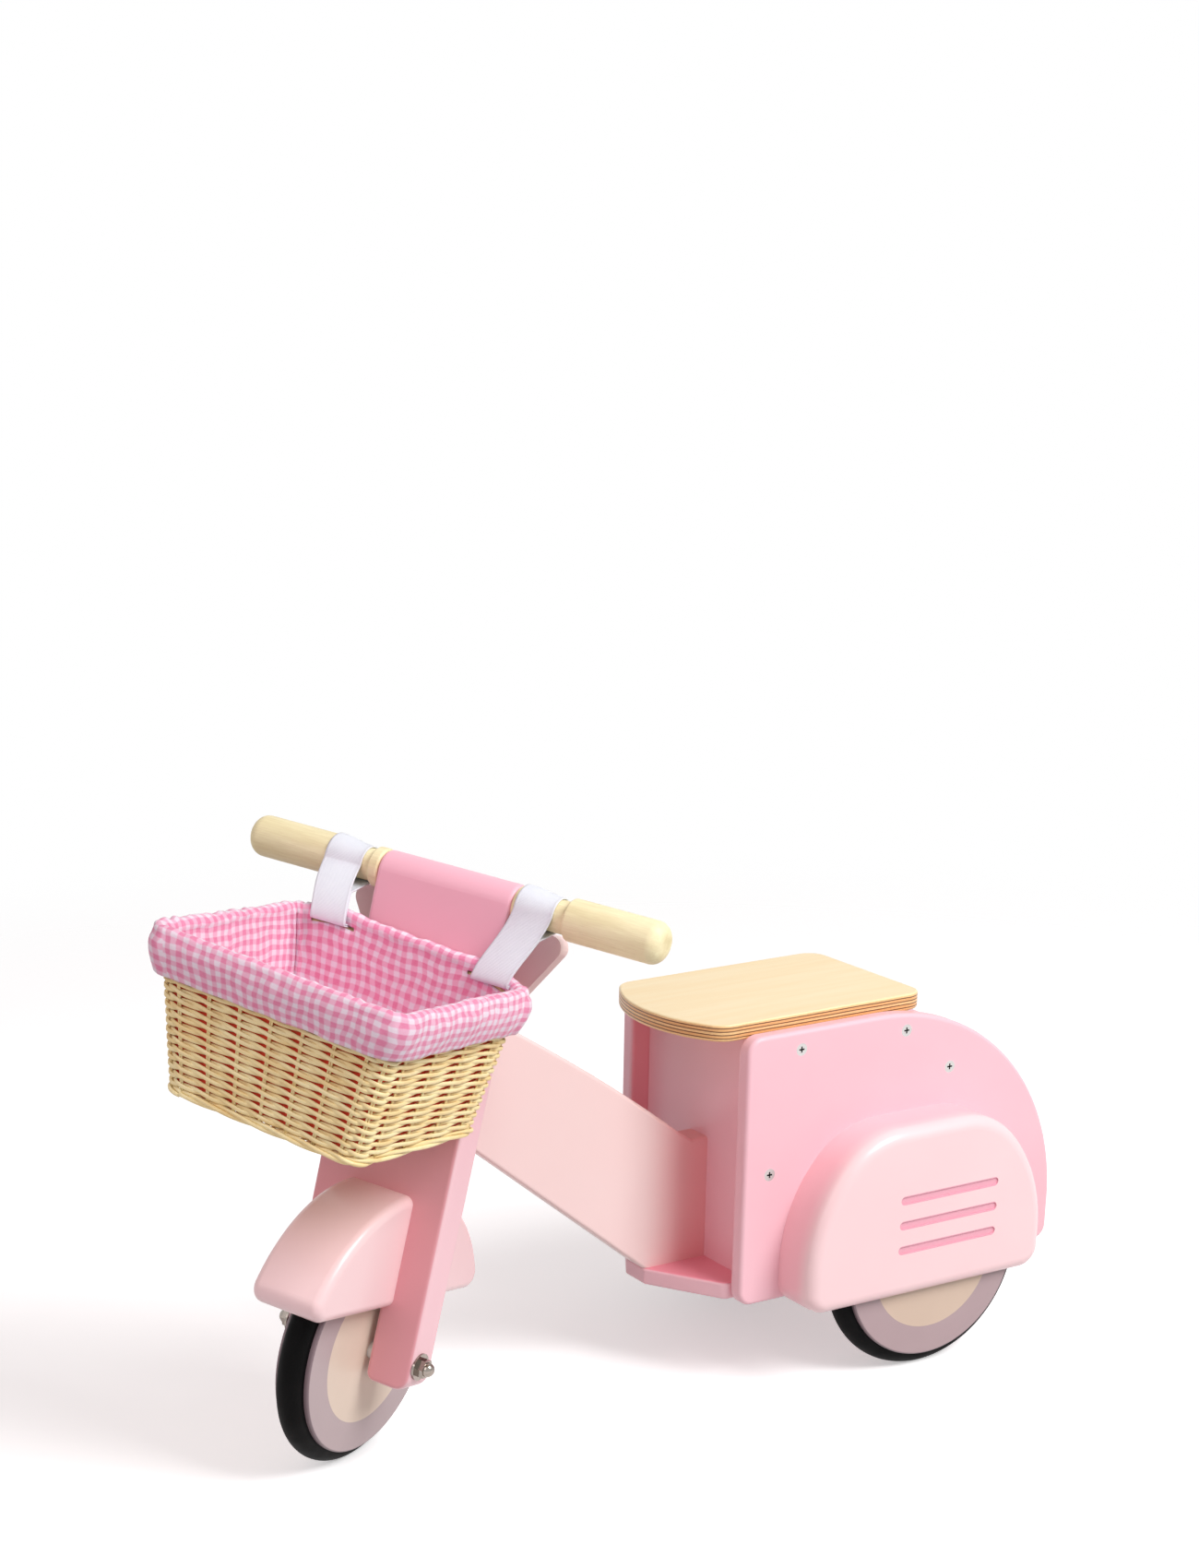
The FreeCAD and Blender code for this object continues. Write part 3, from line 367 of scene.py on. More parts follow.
def seat_plywood():
    """Varnished birch plywood: a plain top with faint grain, and its five layers along the edge."""
    ply = Finish("seat plywood", Coat_Weight=0.25, Coat_Roughness=0.3)
    top_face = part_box("seat_board")[1].z
    x, y, z = ply.split(ply.place)
    top_grain = ply.noise(ply.place, (7.0, 130.0, 1.0), 4.0, 0.55)
    clouds = ply.noise(ply.place, (5.0, 12.0, 1.0))
    top = ply.blend(ply.span(top_grain, 0.35, 0.75), (252, 231, 184), (249, 223, 171))
    top = ply.blend(ply.span(clouds, 0.4, 0.7, 0.0, 0.5), top, (251, 227, 178))
    layers = 5
    layer = seat_thickness * MM / layers
    wander = ply.noise(ply.place, 55.0)
    depth = ply.sum("SUBTRACT", top_face, z)
    depth = ply.sum("ADD", depth, ply.span(wander, 0.0, 1.0, -0.00022, 0.00022))
    number = ply.sum("DIVIDE", depth, layer)
    inside = ply.sum("FRACT", number)
    from_line = ply.sum("MINIMUM", inside, ply.sum("SUBTRACT", 1.0, inside))
    line = ply.span(from_line, 0.07, 0.23, 1.0, 0.0, smooth=True)
    below_top = ply.span(number, 0.45, 0.6)
    line = ply.sum("MULTIPLY", line, below_top)
    above_bottom = ply.span(number, layers - 0.6, layers - 0.45, 1.0, 0.0)
    line = ply.sum("MULTIPLY", line, above_bottom)
    odd = ply.sum("GREATER_THAN", ply.sum("FRACT", ply.sum("MULTIPLY", number, 0.5)), 0.5)
    end_fibres = ply.noise(ply.place, (500.0, 500.0, 2200.0))
    edge = ply.blend(odd, (250, 208, 146), (240, 186, 122))
    edge = ply.blend(ply.span(end_fibres, 0.4, 0.7, 0.0, 0.4), edge, (208, 150, 88))
    edge = ply.blend(line, edge, (104, 58, 24))
    on_edge = ply.span(depth, 0.0005, 0.0012)
    ply.colour(on_edge, top, edge)
    ply.roughness(top_grain, 0.3, 0.7, 0.36, 0.46)
    ply.relief(top_grain, 0.00004)
    ply.relief(line, 0.0001)
    return ply


def wheel_paint(name, joint, cream_colour, mauve_colour):
    """A painted disc: cream middle, mauve ring and darker rounded lip, by distance from its axle."""
    paint = Finish(name, Coat_Weight=0.1, Coat_Roughness=0.3)
    from_hub = paint.measured_from(joint_at(joint))
    along = paint.vector("DOT_PRODUCT", from_hub, tuple(joint_axis(joint)))
    whole = paint.vector("LENGTH", from_hub)
    radius = paint.sum("SQRT", paint.sum("SUBTRACT", paint.sum("MULTIPLY", whole, whole),
                                         paint.sum("MULTIPLY", along, along)))
    cloud = paint.noise(paint.place, 30.0)
    cream, mauve = [paint.blend(cloud, colour, tuple(part - 7 for part in colour))
                    for colour in (cream_colour, mauve_colour)]
    face = paint.blend(paint.span(radius, (disc_ring - 0.2) * MM, (disc_ring + 0.2) * MM), cream, mauve)
    lip = paint.span(radius, disc_lip * MM, (disc_lip + 0.8) * MM)
    paint.colour(lip, face, (132, 112, 118))
    grain = paint.noise(paint.place, (30.0, 30.0, 300.0))
    flow = paint.noise(paint.place, 500.0)
    paint.roughness(flow, 0.2, 0.8, 0.38, 0.5)
    paint.relief(grain, 0.00005)
    from_ring = paint.sum("ABSOLUTE", paint.sum("SUBTRACT", radius, disc_ring * MM))
    paint.relief(paint.span(from_ring, 0.0, 0.4 * MM, 1.0, 0.0), 0.00008)
    return paint


def tyre_rubber():
    """Solid black rubber, with the soft mottle of its mould."""
    rubber = Finish("tyre rubber", Specular_IOR_Level=0.07)
    mottle = rubber.noise(rubber.place, 700.0, 3.0)
    rubber.colour(rubber.span(mottle, 0.4, 0.7), (4, 4, 4), (9, 8, 9))
    rubber.roughness(rubber.noise(rubber.place, 60.0), 0.3, 0.7, 0.5, 0.64)
    rubber.relief(mottle, 0.00005)
    return rubber


def bush_plastic():
    """Pale nylon of the bushes and spacers."""
    nylon = Finish("bush nylon", Roughness=0.45, Subsurface_Weight=0.05)
    cloud = nylon.noise(nylon.place, 200.0)
    nylon.colour(cloud, (232, 230, 224), (222, 219, 212))
    nylon.relief(nylon.noise(nylon.place, 1500.0), 0.00002)
    return nylon


def plated_steel(name, colour, smooth, rough):
    """Plated steel with fine turning marks and a little dulling."""
    steel = Finish(name, Metallic=1.0)
    marks = steel.noise(steel.place, (300.0, 300.0, 5000.0), 3.0)
    dull = steel.noise(steel.place, 260.0, 3.0)
    steel.colour(steel.span(dull, 0.4, 0.7, 0.0, 0.4), colour, (126, 120, 114))
    steel.roughness(dull, 0.3, 0.7, smooth, rough)
    steel.relief(marks, 0.00001)
    return steel


def screw_steel():
    """The panel screws' heads, dull bright steel, with painted shade: the cross cut into them is coloured a near
    black.
    """
    steel = Finish("screw steel", Metallic=1.0)
    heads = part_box("panel_screws_left")[1].y - body_middle
    x, y, z = steel.split(steel.measured_from(axle_floor))
    depth = steel.sum("SUBTRACT", heads, steel.sum("ABSOLUTE", y))
    cut = steel.span(depth, 0.35 * MM, 0.8 * MM, smooth=True)
    worn = steel.noise(steel.place, 900.0)
    face = steel.blend(worn, (206, 204, 202), (182, 180, 178))
    # Painted shade: the cross cut into each head is coloured a near black.
    steel.colour(cut, face, (46, 42, 40))
    steel.roughness(cut, 0.0, 1.0, 0.28, 0.6)
    steel.relief(worn, 0.00003)
    return steel


def basket_cane():
    """Peeled cane: straw yellow with browner stretches, and fibres that run with the rows."""
    cane = Finish("peeled cane", Specular_IOR_Level=0.45)
    axes = [basket_frame.to_3x3() @ Vector(axis) / MM for axis in ((1, 0, 0), (0, 1, 0), (0, 0, 1))]
    here = cane.along(axes, basket_frame.translation)
    rows = cane.noise(here, (26.0, 26.0, 210.0))
    stretches = cane.noise(here, 75.0)
    fibres = cane.noise(here, (240.0, 240.0, 5200.0), 3.0, 0.65)
    tone = cane.blend(cane.span(rows, 0.36, 0.66), (255, 240, 188), (246, 220, 158))
    tone = cane.blend(cane.span(stretches, 0.55, 0.78, 0.0, 0.5), tone, (226, 190, 128))
    cane.colour(cane.span(fibres, 0.5, 0.8, 0.0, 0.35), tone, (214, 178, 122))
    cane.roughness(fibres, 0.3, 0.7, 0.42, 0.6)
    cane.relief(fibres, 0.00012)
    return cane


def gingham():
    """Woven check of pink and white, one repeat of the check to each unit of the cloth's pattern map."""
    cloth = Finish("gingham", Sheen_Weight=0.25, Sheen_Roughness=0.5, Roughness=0.82, Specular_IOR_Level=0.25)
    pattern = cloth.node("ShaderNodeUVMap", uv_map="pattern").outputs[0]
    threads = 16
    pull = cloth.noise(pattern, 0.4)
    slack = cloth.noise(pattern, 0.27)
    bent = cloth.vector("ADD", pattern, cloth.join(cloth.span(pull, 0.2, 0.8, -0.3, 0.3),
                                                   cloth.span(slack, 0.2, 0.8, 0.3, -0.3), 0.0))
    across, along, spare = cloth.split(bent)

    def stripe(value):
        """1 within the coloured half of a repeat, with soft edges."""
        return cloth.span(cloth.off_middle(value), 0.2, 0.3, 1.0, 0.0)

    def thread(value):
        """The rounded back of each thread."""
        return cloth.span(cloth.off_middle(cloth.sum("MULTIPLY", value, threads)), 0.0, 0.5, 1.0, 0.0)

    both = cloth.sum("MULTIPLY", cloth.sum("ADD", stripe(across), stripe(along)), 0.5)
    white = (252, 235, 248)
    half = (250, 190, 216)
    full = (243, 140, 180)
    tone = cloth.blend(cloth.span(both, 0.0, 0.5), white, half)
    tone = cloth.blend(cloth.span(both, 0.5, 1.0), tone, full)
    weave = cloth.sum("MAXIMUM", thread(across), thread(along))
    slub = cloth.noise(pattern, (4.0, 22.0, 1.0))
    tone = cloth.blend(cloth.span(slub, 0.45, 0.75, 0.0, 0.2), tone, white)
    # Painted shade: the colour goes a darker pink in the grooves between the threads' rounded backs.
    cloth.colour(cloth.span(weave, 0.2, 0.7, 0.16, 0.0), tone, (206, 96, 136))
    cloth.relief(weave, 0.00012)
    return cloth


def backing():
    """The liner's other side, a deep coral that shows between the canes."""
    cloth = Finish("liner back", Sheen_Weight=0.2, Sheen_Roughness=0.5, Roughness=0.85, Specular_IOR_Level=0.2)
    cloud = cloth.noise(cloth.place, 90.0)
    cloth.colour(cloud, (255, 84, 54), (252, 104, 78))
    cloth.relief(cloth.noise(cloth.place, 1800.0, 1.0), 0.0001)
    return cloth


def strap_webbing():
    """White woven tape: a fine rib across it and a firmer edge on each side."""
    tape = Finish("strap webbing", Sheen_Weight=0.15, Sheen_Roughness=0.4, Roughness=0.7,
                  Specular_IOR_Level=0.3)
    pattern = tape.node("ShaderNodeUVMap", uv_map="pattern").outputs[0]
    across, along, spare = tape.split(pattern)
    rib = tape.off_middle(tape.sum("MULTIPLY", along, 1.15))
    cord = tape.off_middle(tape.sum("MULTIPLY", across, 1.4))
    weave = tape.sum("MAXIMUM", tape.span(rib, 0.0, 0.5), tape.span(cord, 0.1, 0.5, 0.0, 0.8))
    edge = tape.span(tape.sum("ABSOLUTE", across), 13.0, 13.4)
    cloud = tape.noise(pattern, 0.2)
    tone = tape.blend(cloud, (244, 249, 255), (238, 243, 252))
    # Painted shade: the tape goes a little darker in the grooves between its ribs and cords.
    tone = tape.blend(tape.span(weave, 0.2, 0.8, 0.12, 0.0), tone, (200, 200, 212))
    tape.colour(tape.sum("MULTIPLY", edge, 0.35), tone, (226, 226, 234))
    tape.relief(weave, 0.00018)
    tape.relief(edge, 0.0001)
    return tape


grip_wood = grain_wood("handle wood", (fork_left, fork_ahead, fork_up),
                       fork_frame @ Vector((fork_middle, 0, bar_height)),
                       (252, 242, 199), (230, 216, 167))
batten_wood = grain_wood("batten wood", ((1, 0, 0), (0, 1, 0), (0, 0, 1)), axle_floor,
                         (240, 222, 184), (226, 204, 160))
cane_finish = basket_cane()
liner_cloth = gingham()
liner_back = backing()
webbing = strap_webbing()
finishes = {
    "painted_body": board_paint("body paint", (250, 201, 211), (250, 195, 206)),
    "painted_pod": pod_paint(),
    "plywood": seat_plywood(),
    "bare_wood": batten_wood,
    # Painted shade: the rear discs take darker copies of the front disc's cream and mauve.
    "wheel_paint": wheel_paint("rear disc paint in painted shade", "rear_wheel_left_spin", (217, 194, 174), (183, 160, 163)),
    "tyre_rubber": tyre_rubber(),
    "bush_plastic": bush_plastic(),
    "steel": plated_steel("zinc plated steel", (196, 196, 200), 0.28, 0.4),
    "bright_steel": plated_steel("bright nickel", (158, 150, 142), 0.1, 0.18),
    "wicker": cane_finish,
    "gingham": liner_cloth,
    "webbing": webbing,
}
head_steel = screw_steel()
panel_finish = panel_paint()
own_finishes = {
    "side_panel_left": panel_finish,
    "side_panel_right": panel_finish,
    "floor_plate": plate_paint(),
    "panel_screws_left": head_steel,
    "panel_screws_right": head_steel,
    "handle_left": grip_wood,
    "handle_right": grip_wood,
    "main_beam": foot_paint(),
    "fork_board": head_paint(),
    "yoke_board": board_paint("yoke paint", (250, 223, 220), (249, 219, 216)),
    "front_wheel_disc": wheel_paint("front disc paint", "front_wheel_spin", (229, 211, 193), (188, 170, 172)),
}
for subpart in frame["record"]["subparts"]:
    name = subpart["node"]
    finish = own_finishes.get(name, finishes[subpart["material_slot"]])
    solid = frame["nodes"][name]
    solid.data.materials.clear()
    solid.data.materials.append(finish.material)


def grown(columns, stations, place, closed):
    """A sheet grown one row of vertices at a time; place(column, station) says where each one goes.

    closed says that its columns go all the way round.
    """
    sheet = bmesh.new()
    column_of = sheet.verts.layers.int.new("column")
    station_of = sheet.verts.layers.int.new("station")
    row = [sheet.verts.new(place(column, 0)) for column in range(columns)]
    for column, vert in enumerate(row):
        vert[column_of] = column
    edges = [sheet.edges.new(pair) for pair in zip(row, row[1:])]
    if closed:
        edges.append(sheet.edges.new((row[-1], row[0])))
    for station in range(1, stations):
        fresh = bmesh.ops.extrude_edge_only(sheet, edges=edges)["geom"]
        verts = {item for item in fresh if isinstance(item, bmesh.types.BMVert)}
        edges = [item for item in fresh
                 if isinstance(item, bmesh.types.BMEdge) and item.verts[0] in verts and item.verts[1] in verts]
        for vert in verts:
            vert[station_of] = station
            vert.co = place(vert[column_of], station)
    return sheet


def lay_pattern(sheet, across, along, closed, flat_until=0):
    """Gives a grown sheet its pattern map from each column's and each station's distance.

    Faces before the station flat_until take their place in X and Y instead.
    """
    column_of = sheet.verts.layers.int["column"]
    station_of = sheet.verts.layers.int["station"]
    pattern = sheet.loops.layers.uv.new("pattern")
    for face in sheet.faces:
        around = closed and max(vert[column_of] for vert in face.verts) == len(across) - 2 \
            and min(vert[column_of] for vert in face.verts) == 0
        flat = min(vert[station_of] for vert in face.verts) < flat_until
        for loop in face.loops:
            vert = loop.vert
            column = vert[column_of]
            if around and column == 0:
                column = len(across) - 1
            if flat:
                loop[pattern].uv = (vert.co.y / check_across, vert.co.x / check)
            else:
                loop[pattern].uv = (across[column], along[vert[station_of]])


def finished(name, shape, place, finish, body, nodes):
    """Puts a shape in its place as a piece with a finish, a body to ride on and the nodes it stands for."""
    bmesh.ops.transform(shape, matrix=place, verts=shape.verts)
    mesh = meshed(name, shape)
    for polygon in mesh.polygons:
        polygon.use_smooth = True
    mesh.materials.append(finish.material)
    piece = placed(name, mesh)
    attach(piece, body)
    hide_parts(*nodes)
    return piece


def thicken(piece, name, depth):
    """Gives a sheet its thickness, half to each side."""
    made = piece.modifiers.new(name, "SOLIDIFY")
    made.thickness = depth * MM
    made.offset = 0
    return made


def half_sizes(height):
    """Half the basket's depth and width at a height below its rim."""
    share = within_one(-height / basket_height)
    return ((rim_depth + (base_depth - rim_depth) * share) / 2,
            (rim_width + (base_width - rim_width) * share) / 2)


def aside(height):
    """How far the wall's middle lies ahead and to the left at a height below the rim."""
    share = within_one(-height / basket_height)
    return Vector((set_back * min(1.0, -min(0.0, height) / 34), base_aside * share, 0))


def skewed(point, height):
    """The point moved sideways, because the basket has pulled out of square."""
    depth, width = half_sizes(height)
    ahead = min(1.0, max(-1.0, point.x / depth))
    left = min(1.0, max(-1.0, point.y / width))
    share = within_one(-height / basket_height)
    point.y -= ahead * (rim_skew * (1 - share) + base_skew * (1 + left) * share)
    return point


def spans(height):
    """Lengths of the outline's eight spans: front, corner, left, corner, back, corner, right, corner."""
    depth, width = half_sizes(height)
    turn = basket_corner * math.pi / 2
    across = 2 * (width - basket_corner)
    along = 2 * (depth - basket_corner)
    return [across, turn, along, turn, across, turn, along, turn]


def on_wall(height, distance, out):
    """A point of the basket's wall: how far round its outline, and how far out of the wall's middle."""
    depth, width = half_sizes(height)
    flat_x = depth - basket_corner
    flat_y = width - basket_corner
    lengths = spans(height)
    distance %= sum(lengths)
    number = 0
    while distance > lengths[number] and number < 7:
        distance -= lengths[number]
        number += 1
    angle = number // 2 * math.pi / 2
    if number % 2:
        angle += distance / basket_corner
    normal = Vector((math.cos(angle), math.sin(angle), 0))
    centre_x = flat_x if number in (0, 1, 7) else -flat_x
    centre_y = flat_y if number in (1, 2, 3) else -flat_y
    if number == 0:
        centre_y = distance - flat_y
    elif number == 2:
        centre_x = flat_x - distance
    elif number == 4:
        centre_y = flat_y - distance
    elif number == 6:
        centre_x = distance - flat_x
    point = Vector((centre_x, centre_y, height)) + normal * (basket_corner + out)
    return skewed(point, height) + aside(height)


def lift(point):
    """How far the straps pull the back wall's top up."""
    if point.x > 0:
        return 0.0
    beside = point.y / (rim_width / 2)
    if abs(beside) >= 1:
        return 0.0
    up = 7.2 * (1 - beside ** 4)
    for place in slit_places.values():
        up += 2.2 * math.exp(-((point.y - place * 0.92) / 18) ** 2)
    share = within_one((point.z + 60) / 55)
    return up * share * share * (3 - 2 * share)


def lifted(point):
    return Vector((point.x, point.y, point.z + lift(point)))


# Stakes of the basket: how far along each side, as shares of the half side
front_stakes = [number * 26.5 / 96 for number in range(-3, 4)]
side_stakes = [-0.72, -0.24, 0.24, 0.72]


def stake_distances(height):
    """How far round the outline each stake stands, at a height."""
    depth, width = half_sizes(height)
    lengths = spans(height)
    starts = [sum(lengths[:number]) for number in range(8)]
    found = []
    for number, (half, shares) in enumerate([(width, front_stakes), (depth, side_stakes)] * 2):
        found += [starts[2 * number] + half - basket_corner + share * half for share in shares]
        found.append(starts[2 * number + 1] + lengths[1] / 2)
    return found


def round_wall(height, turns):
    """Distance round the outline at a number of stakes passed."""
    places = stake_distances(height)
    whole = sum(spans(height))
    number = math.floor(turns)
    share = turns - number
    low = places[number % len(places)] + whole * (number // len(places))
    high = places[(number + 1) % len(places)] + whole * ((number + 1) // len(places))
    return low + (high - low) * share


def canes(name, runs, closed, thick, tall):
    """A mesh of canes along runs of points, each with an oval section."""
    sides = 8
    section = bpy.data.curves.new("section", "CURVE")
    ring = section.splines.new("POLY")
    ring.points.add(sides - 1)
    for number, point in enumerate(ring.points):
        angle = number / sides * 2 * math.pi
        point.co = (thick / 2 * math.cos(angle), tall / 2 * math.sin(angle), 0, 1)
    ring.use_cyclic_u = True
    section_object = placed("section", section)
    curve = bpy.data.curves.new(name, "CURVE")
    curve.dimensions = "3D"
    curve.twist_mode = "Z_UP" if closed else "MINIMUM"
    curve.bevel_mode = "OBJECT"
    curve.bevel_object = section_object
    curve.use_fill_caps = not closed
    for run in runs:
        spline = curve.splines.new("POLY")
        spline.points.add(len(run) - 1)
        for point, place in zip(spline.points, run):
            point.co = (*place, 1)
        spline.use_cyclic_u = closed
    curve_object = placed(name, curve)
    bpy.context.view_layer.update()
    mesh = bpy.data.meshes.new_from_object(curve_object.evaluated_get(bpy.context.evaluated_depsgraph_get()))
    bpy.data.objects.remove(curve_object)
    bpy.data.objects.remove(section_object)
    shape = bmesh.new()
    shape.from_mesh(mesh)
    bpy.data.meshes.remove(mesh)
    bpy.data.curves.remove(curve)
    bpy.data.curves.remove(section)
    bmesh.ops.remove_doubles(shape, verts=shape.verts, dist=0.0001)
    bmesh.ops.recalc_face_normals(shape, faces=shape.faces)
    return shape


stake_count = 2 * (len(front_stakes) + len(side_stakes)) + 4
row_pitch = 5.75
row_count = 18
lowest_row = -103.6
steps_per_stake = 8
cane_thick = 1.4
cane_tall = 3.1
weave_depth = 1.4
weave_swing = 1.1
stake_thick = 1.5


def woven_rows():
    """The wall's rows: in each, two canes twist round each other once for every two stakes."""
    runs = []
    for row in range(row_count):
        height = lowest_row + row * row_pitch
        for strand in (0, 1):
            run = []
            for step in range(stake_count * steps_per_stake):
                turns = step / steps_per_stake
                phase = math.pi * (turns + strand)
                sway = drift(turns * 0.55, row * 1.7, strand * 9.1)
                stray = drift(turns * 1.3, row * 3.1 + 40, strand * 5.3)
                out = weave_depth * math.cos(phase) + 0.25 * stray
                low = height - weave_swing * math.sin(phase) + 0.45 * sway
                point = on_wall(height, round_wall(height, turns), out)
                point.z = low
                run.append(lifted(point))
            runs.append(run)
    return canes("woven rows", runs, True, cane_thick, cane_tall)


def stakes():
    """The upright canes that the rows are woven round, in slim pairs."""
    runs = []
    for number in range(stake_count):
        for side in (-0.75, 0.75):
            run = []
            for step in range(13):
                height = -basket_height + 4 + step * (basket_height - 6) / 12
                wander = 0.4 * drift(number * 2.3, step * 0.4, side)
                point = on_wall(height, stake_distances(height)[number] + side + wander, 0)
                run.append(lifted(point))
            runs.append(run)
    return canes("stakes", runs, False, stake_thick, stake_thick)


def foot_rope():
    """The plaited foot: three canes laid round the bottom edge, a turn to every fourth stake."""
    runs = []
    height = -basket_height + 3.2
    for strand in range(3):
        run = []
        for step in range(stake_count * steps_per_stake):
            turns = step / steps_per_stake
            phase = math.pi / 2 * turns + strand * 2 * math.pi / 3
            sway = drift(turns * 0.5, strand * 7.7, 3.0)
            point = on_wall(height, round_wall(height, turns), 0.4 + 1.9 * math.cos(phase))
            point.z = height - 1.7 * math.sin(phase) + 0.3 * sway
            run.append(point)
        runs.append(run)
    return canes("foot rope", runs, True, 3.0, 3.1)


def woven_floor():
    """The basket's floor: ribs from side to side, with close canes woven across them."""
    depth, width = half_sizes(-basket_height)
    middle = aside(-basket_height)
    floor = -basket_height + 3.4
    rib_pitch = 11.6
    ribs = 13
    runs = []
    for number in range(ribs):
        y = (number - (ribs - 1) / 2) * rib_pitch
        runs.append([Vector((x, y, floor)) + middle for x in (-depth + 2, -depth / 3, depth / 3, depth - 2)])
    shape = canes("floor ribs", runs, False, 3.0, 3.0)
    runs = []
    cane_pitch = 3.9
    rows = int(2 * (depth - 3) / cane_pitch)
    for row in range(rows):
        x = (row - (rows - 1) / 2) * cane_pitch
        run = []
        for step in range((ribs + 1) * 4 + 1):
            y = (step / 4 - (ribs + 1) / 2) * rib_pitch
            swing = math.cos(math.pi * (step / 4 + row))
            if abs(y) < width - 1.5:
                run.append(Vector((x, y, floor + 1.7 * swing)) + middle)
        runs.append(run)
    mesh = meshed("floor canes", canes("floor canes", runs, False, 3.2, 1.7))
    shape.from_mesh(mesh)
    bpy.data.meshes.remove(mesh)
    return shape


for name, weave in (("basket_rows", woven_rows), ("basket_stakes", stakes),
                    ("basket_foot", foot_rope), ("basket_floor", woven_floor)):
    finished(name, weave(), basket_frame, cane_finish, "basket", ["basket_wicker"])

# The liner
check = 7.3                 # one repeat of the check up the cloth
check_across = 9.1          # and across it
lining = -3.7               # of the cloth inside the wall, from the wall's middle
fold_radius = 4.7
fold_height = -4.0
cloth_thickness = 0.7
slit_low = -11.4
slit_high = -8.8
slit_reach = 18.0


def liner_columns():
    """Where the liner's columns stand: the span of the outline and the share of that span."""
    columns = []
    for span in range(8):
        if span % 2:
            shares = [number / 10 for number in range(10)]
        elif span == 4:
            flat = half_sizes(slit_low)[1] - basket_corner
            places = [flat - number * 2 * flat / 40 for number in range(40)]
            ends = [place - rim_skew + side * slit_reach for place in slit_places.values() for side in (-1, 1)]
            for end in ends:
                if abs(end) < flat:
                    nearest = min(range(1, 40), key=lambda number: abs(places[number] - end))
                    places[nearest] = end
            shares = [(flat - place) / (2 * flat) for place in places]
        else:
            shares = [number / 40 for number in range(40)]
        columns += [(span, share) for share in shares]
    return columns


def liner_stations():
    """The liner's profile: how far out, how high, and how far it is drawn in for the floor."""
    floor = -basket_height + 7.4
    stations = [(lining, floor, share) for share in (0.04, 0.25, 0.45, 0.65, 0.82, 0.93)]
    stations += [(lining - 1.6, floor + 0.4, 1), (lining - 0.5, floor + 1.7, 1), (lining, floor + 4.2, 1)]
    heights = [floor + 9 + number * (slit_low - 5 - floor - 9) / 13 for number in range(14)]
    stations += [(lining, height, 1) for height in heights]
    stations += [(lining, slit_low, 1), (lining, slit_high, 1), (lining, -7.4, 1), (lining - 0.2, -5.8, 1)]
    for number in range(9):
        angle = math.pi * (1 - number / 8)
        out = 0.5 + (fold_radius + 0.5) * math.cos(angle)
        stations.append((out, fold_height + fold_radius * math.sin(angle), 1))
    cuff = [(6.9, -6.4), (7.9, -9.4), (8.4, -13), (8.4, -17), (8.0, -21), (7.3, -25), (6.5, -28.3),
            (5.9, -30.6), (5.5, -cuff_height), (5.1, -cuff_height - 0.3), (4.8, -cuff_height + 0.6)]
    stations += [(out, height, 1) for out, height in cuff]
    return stations


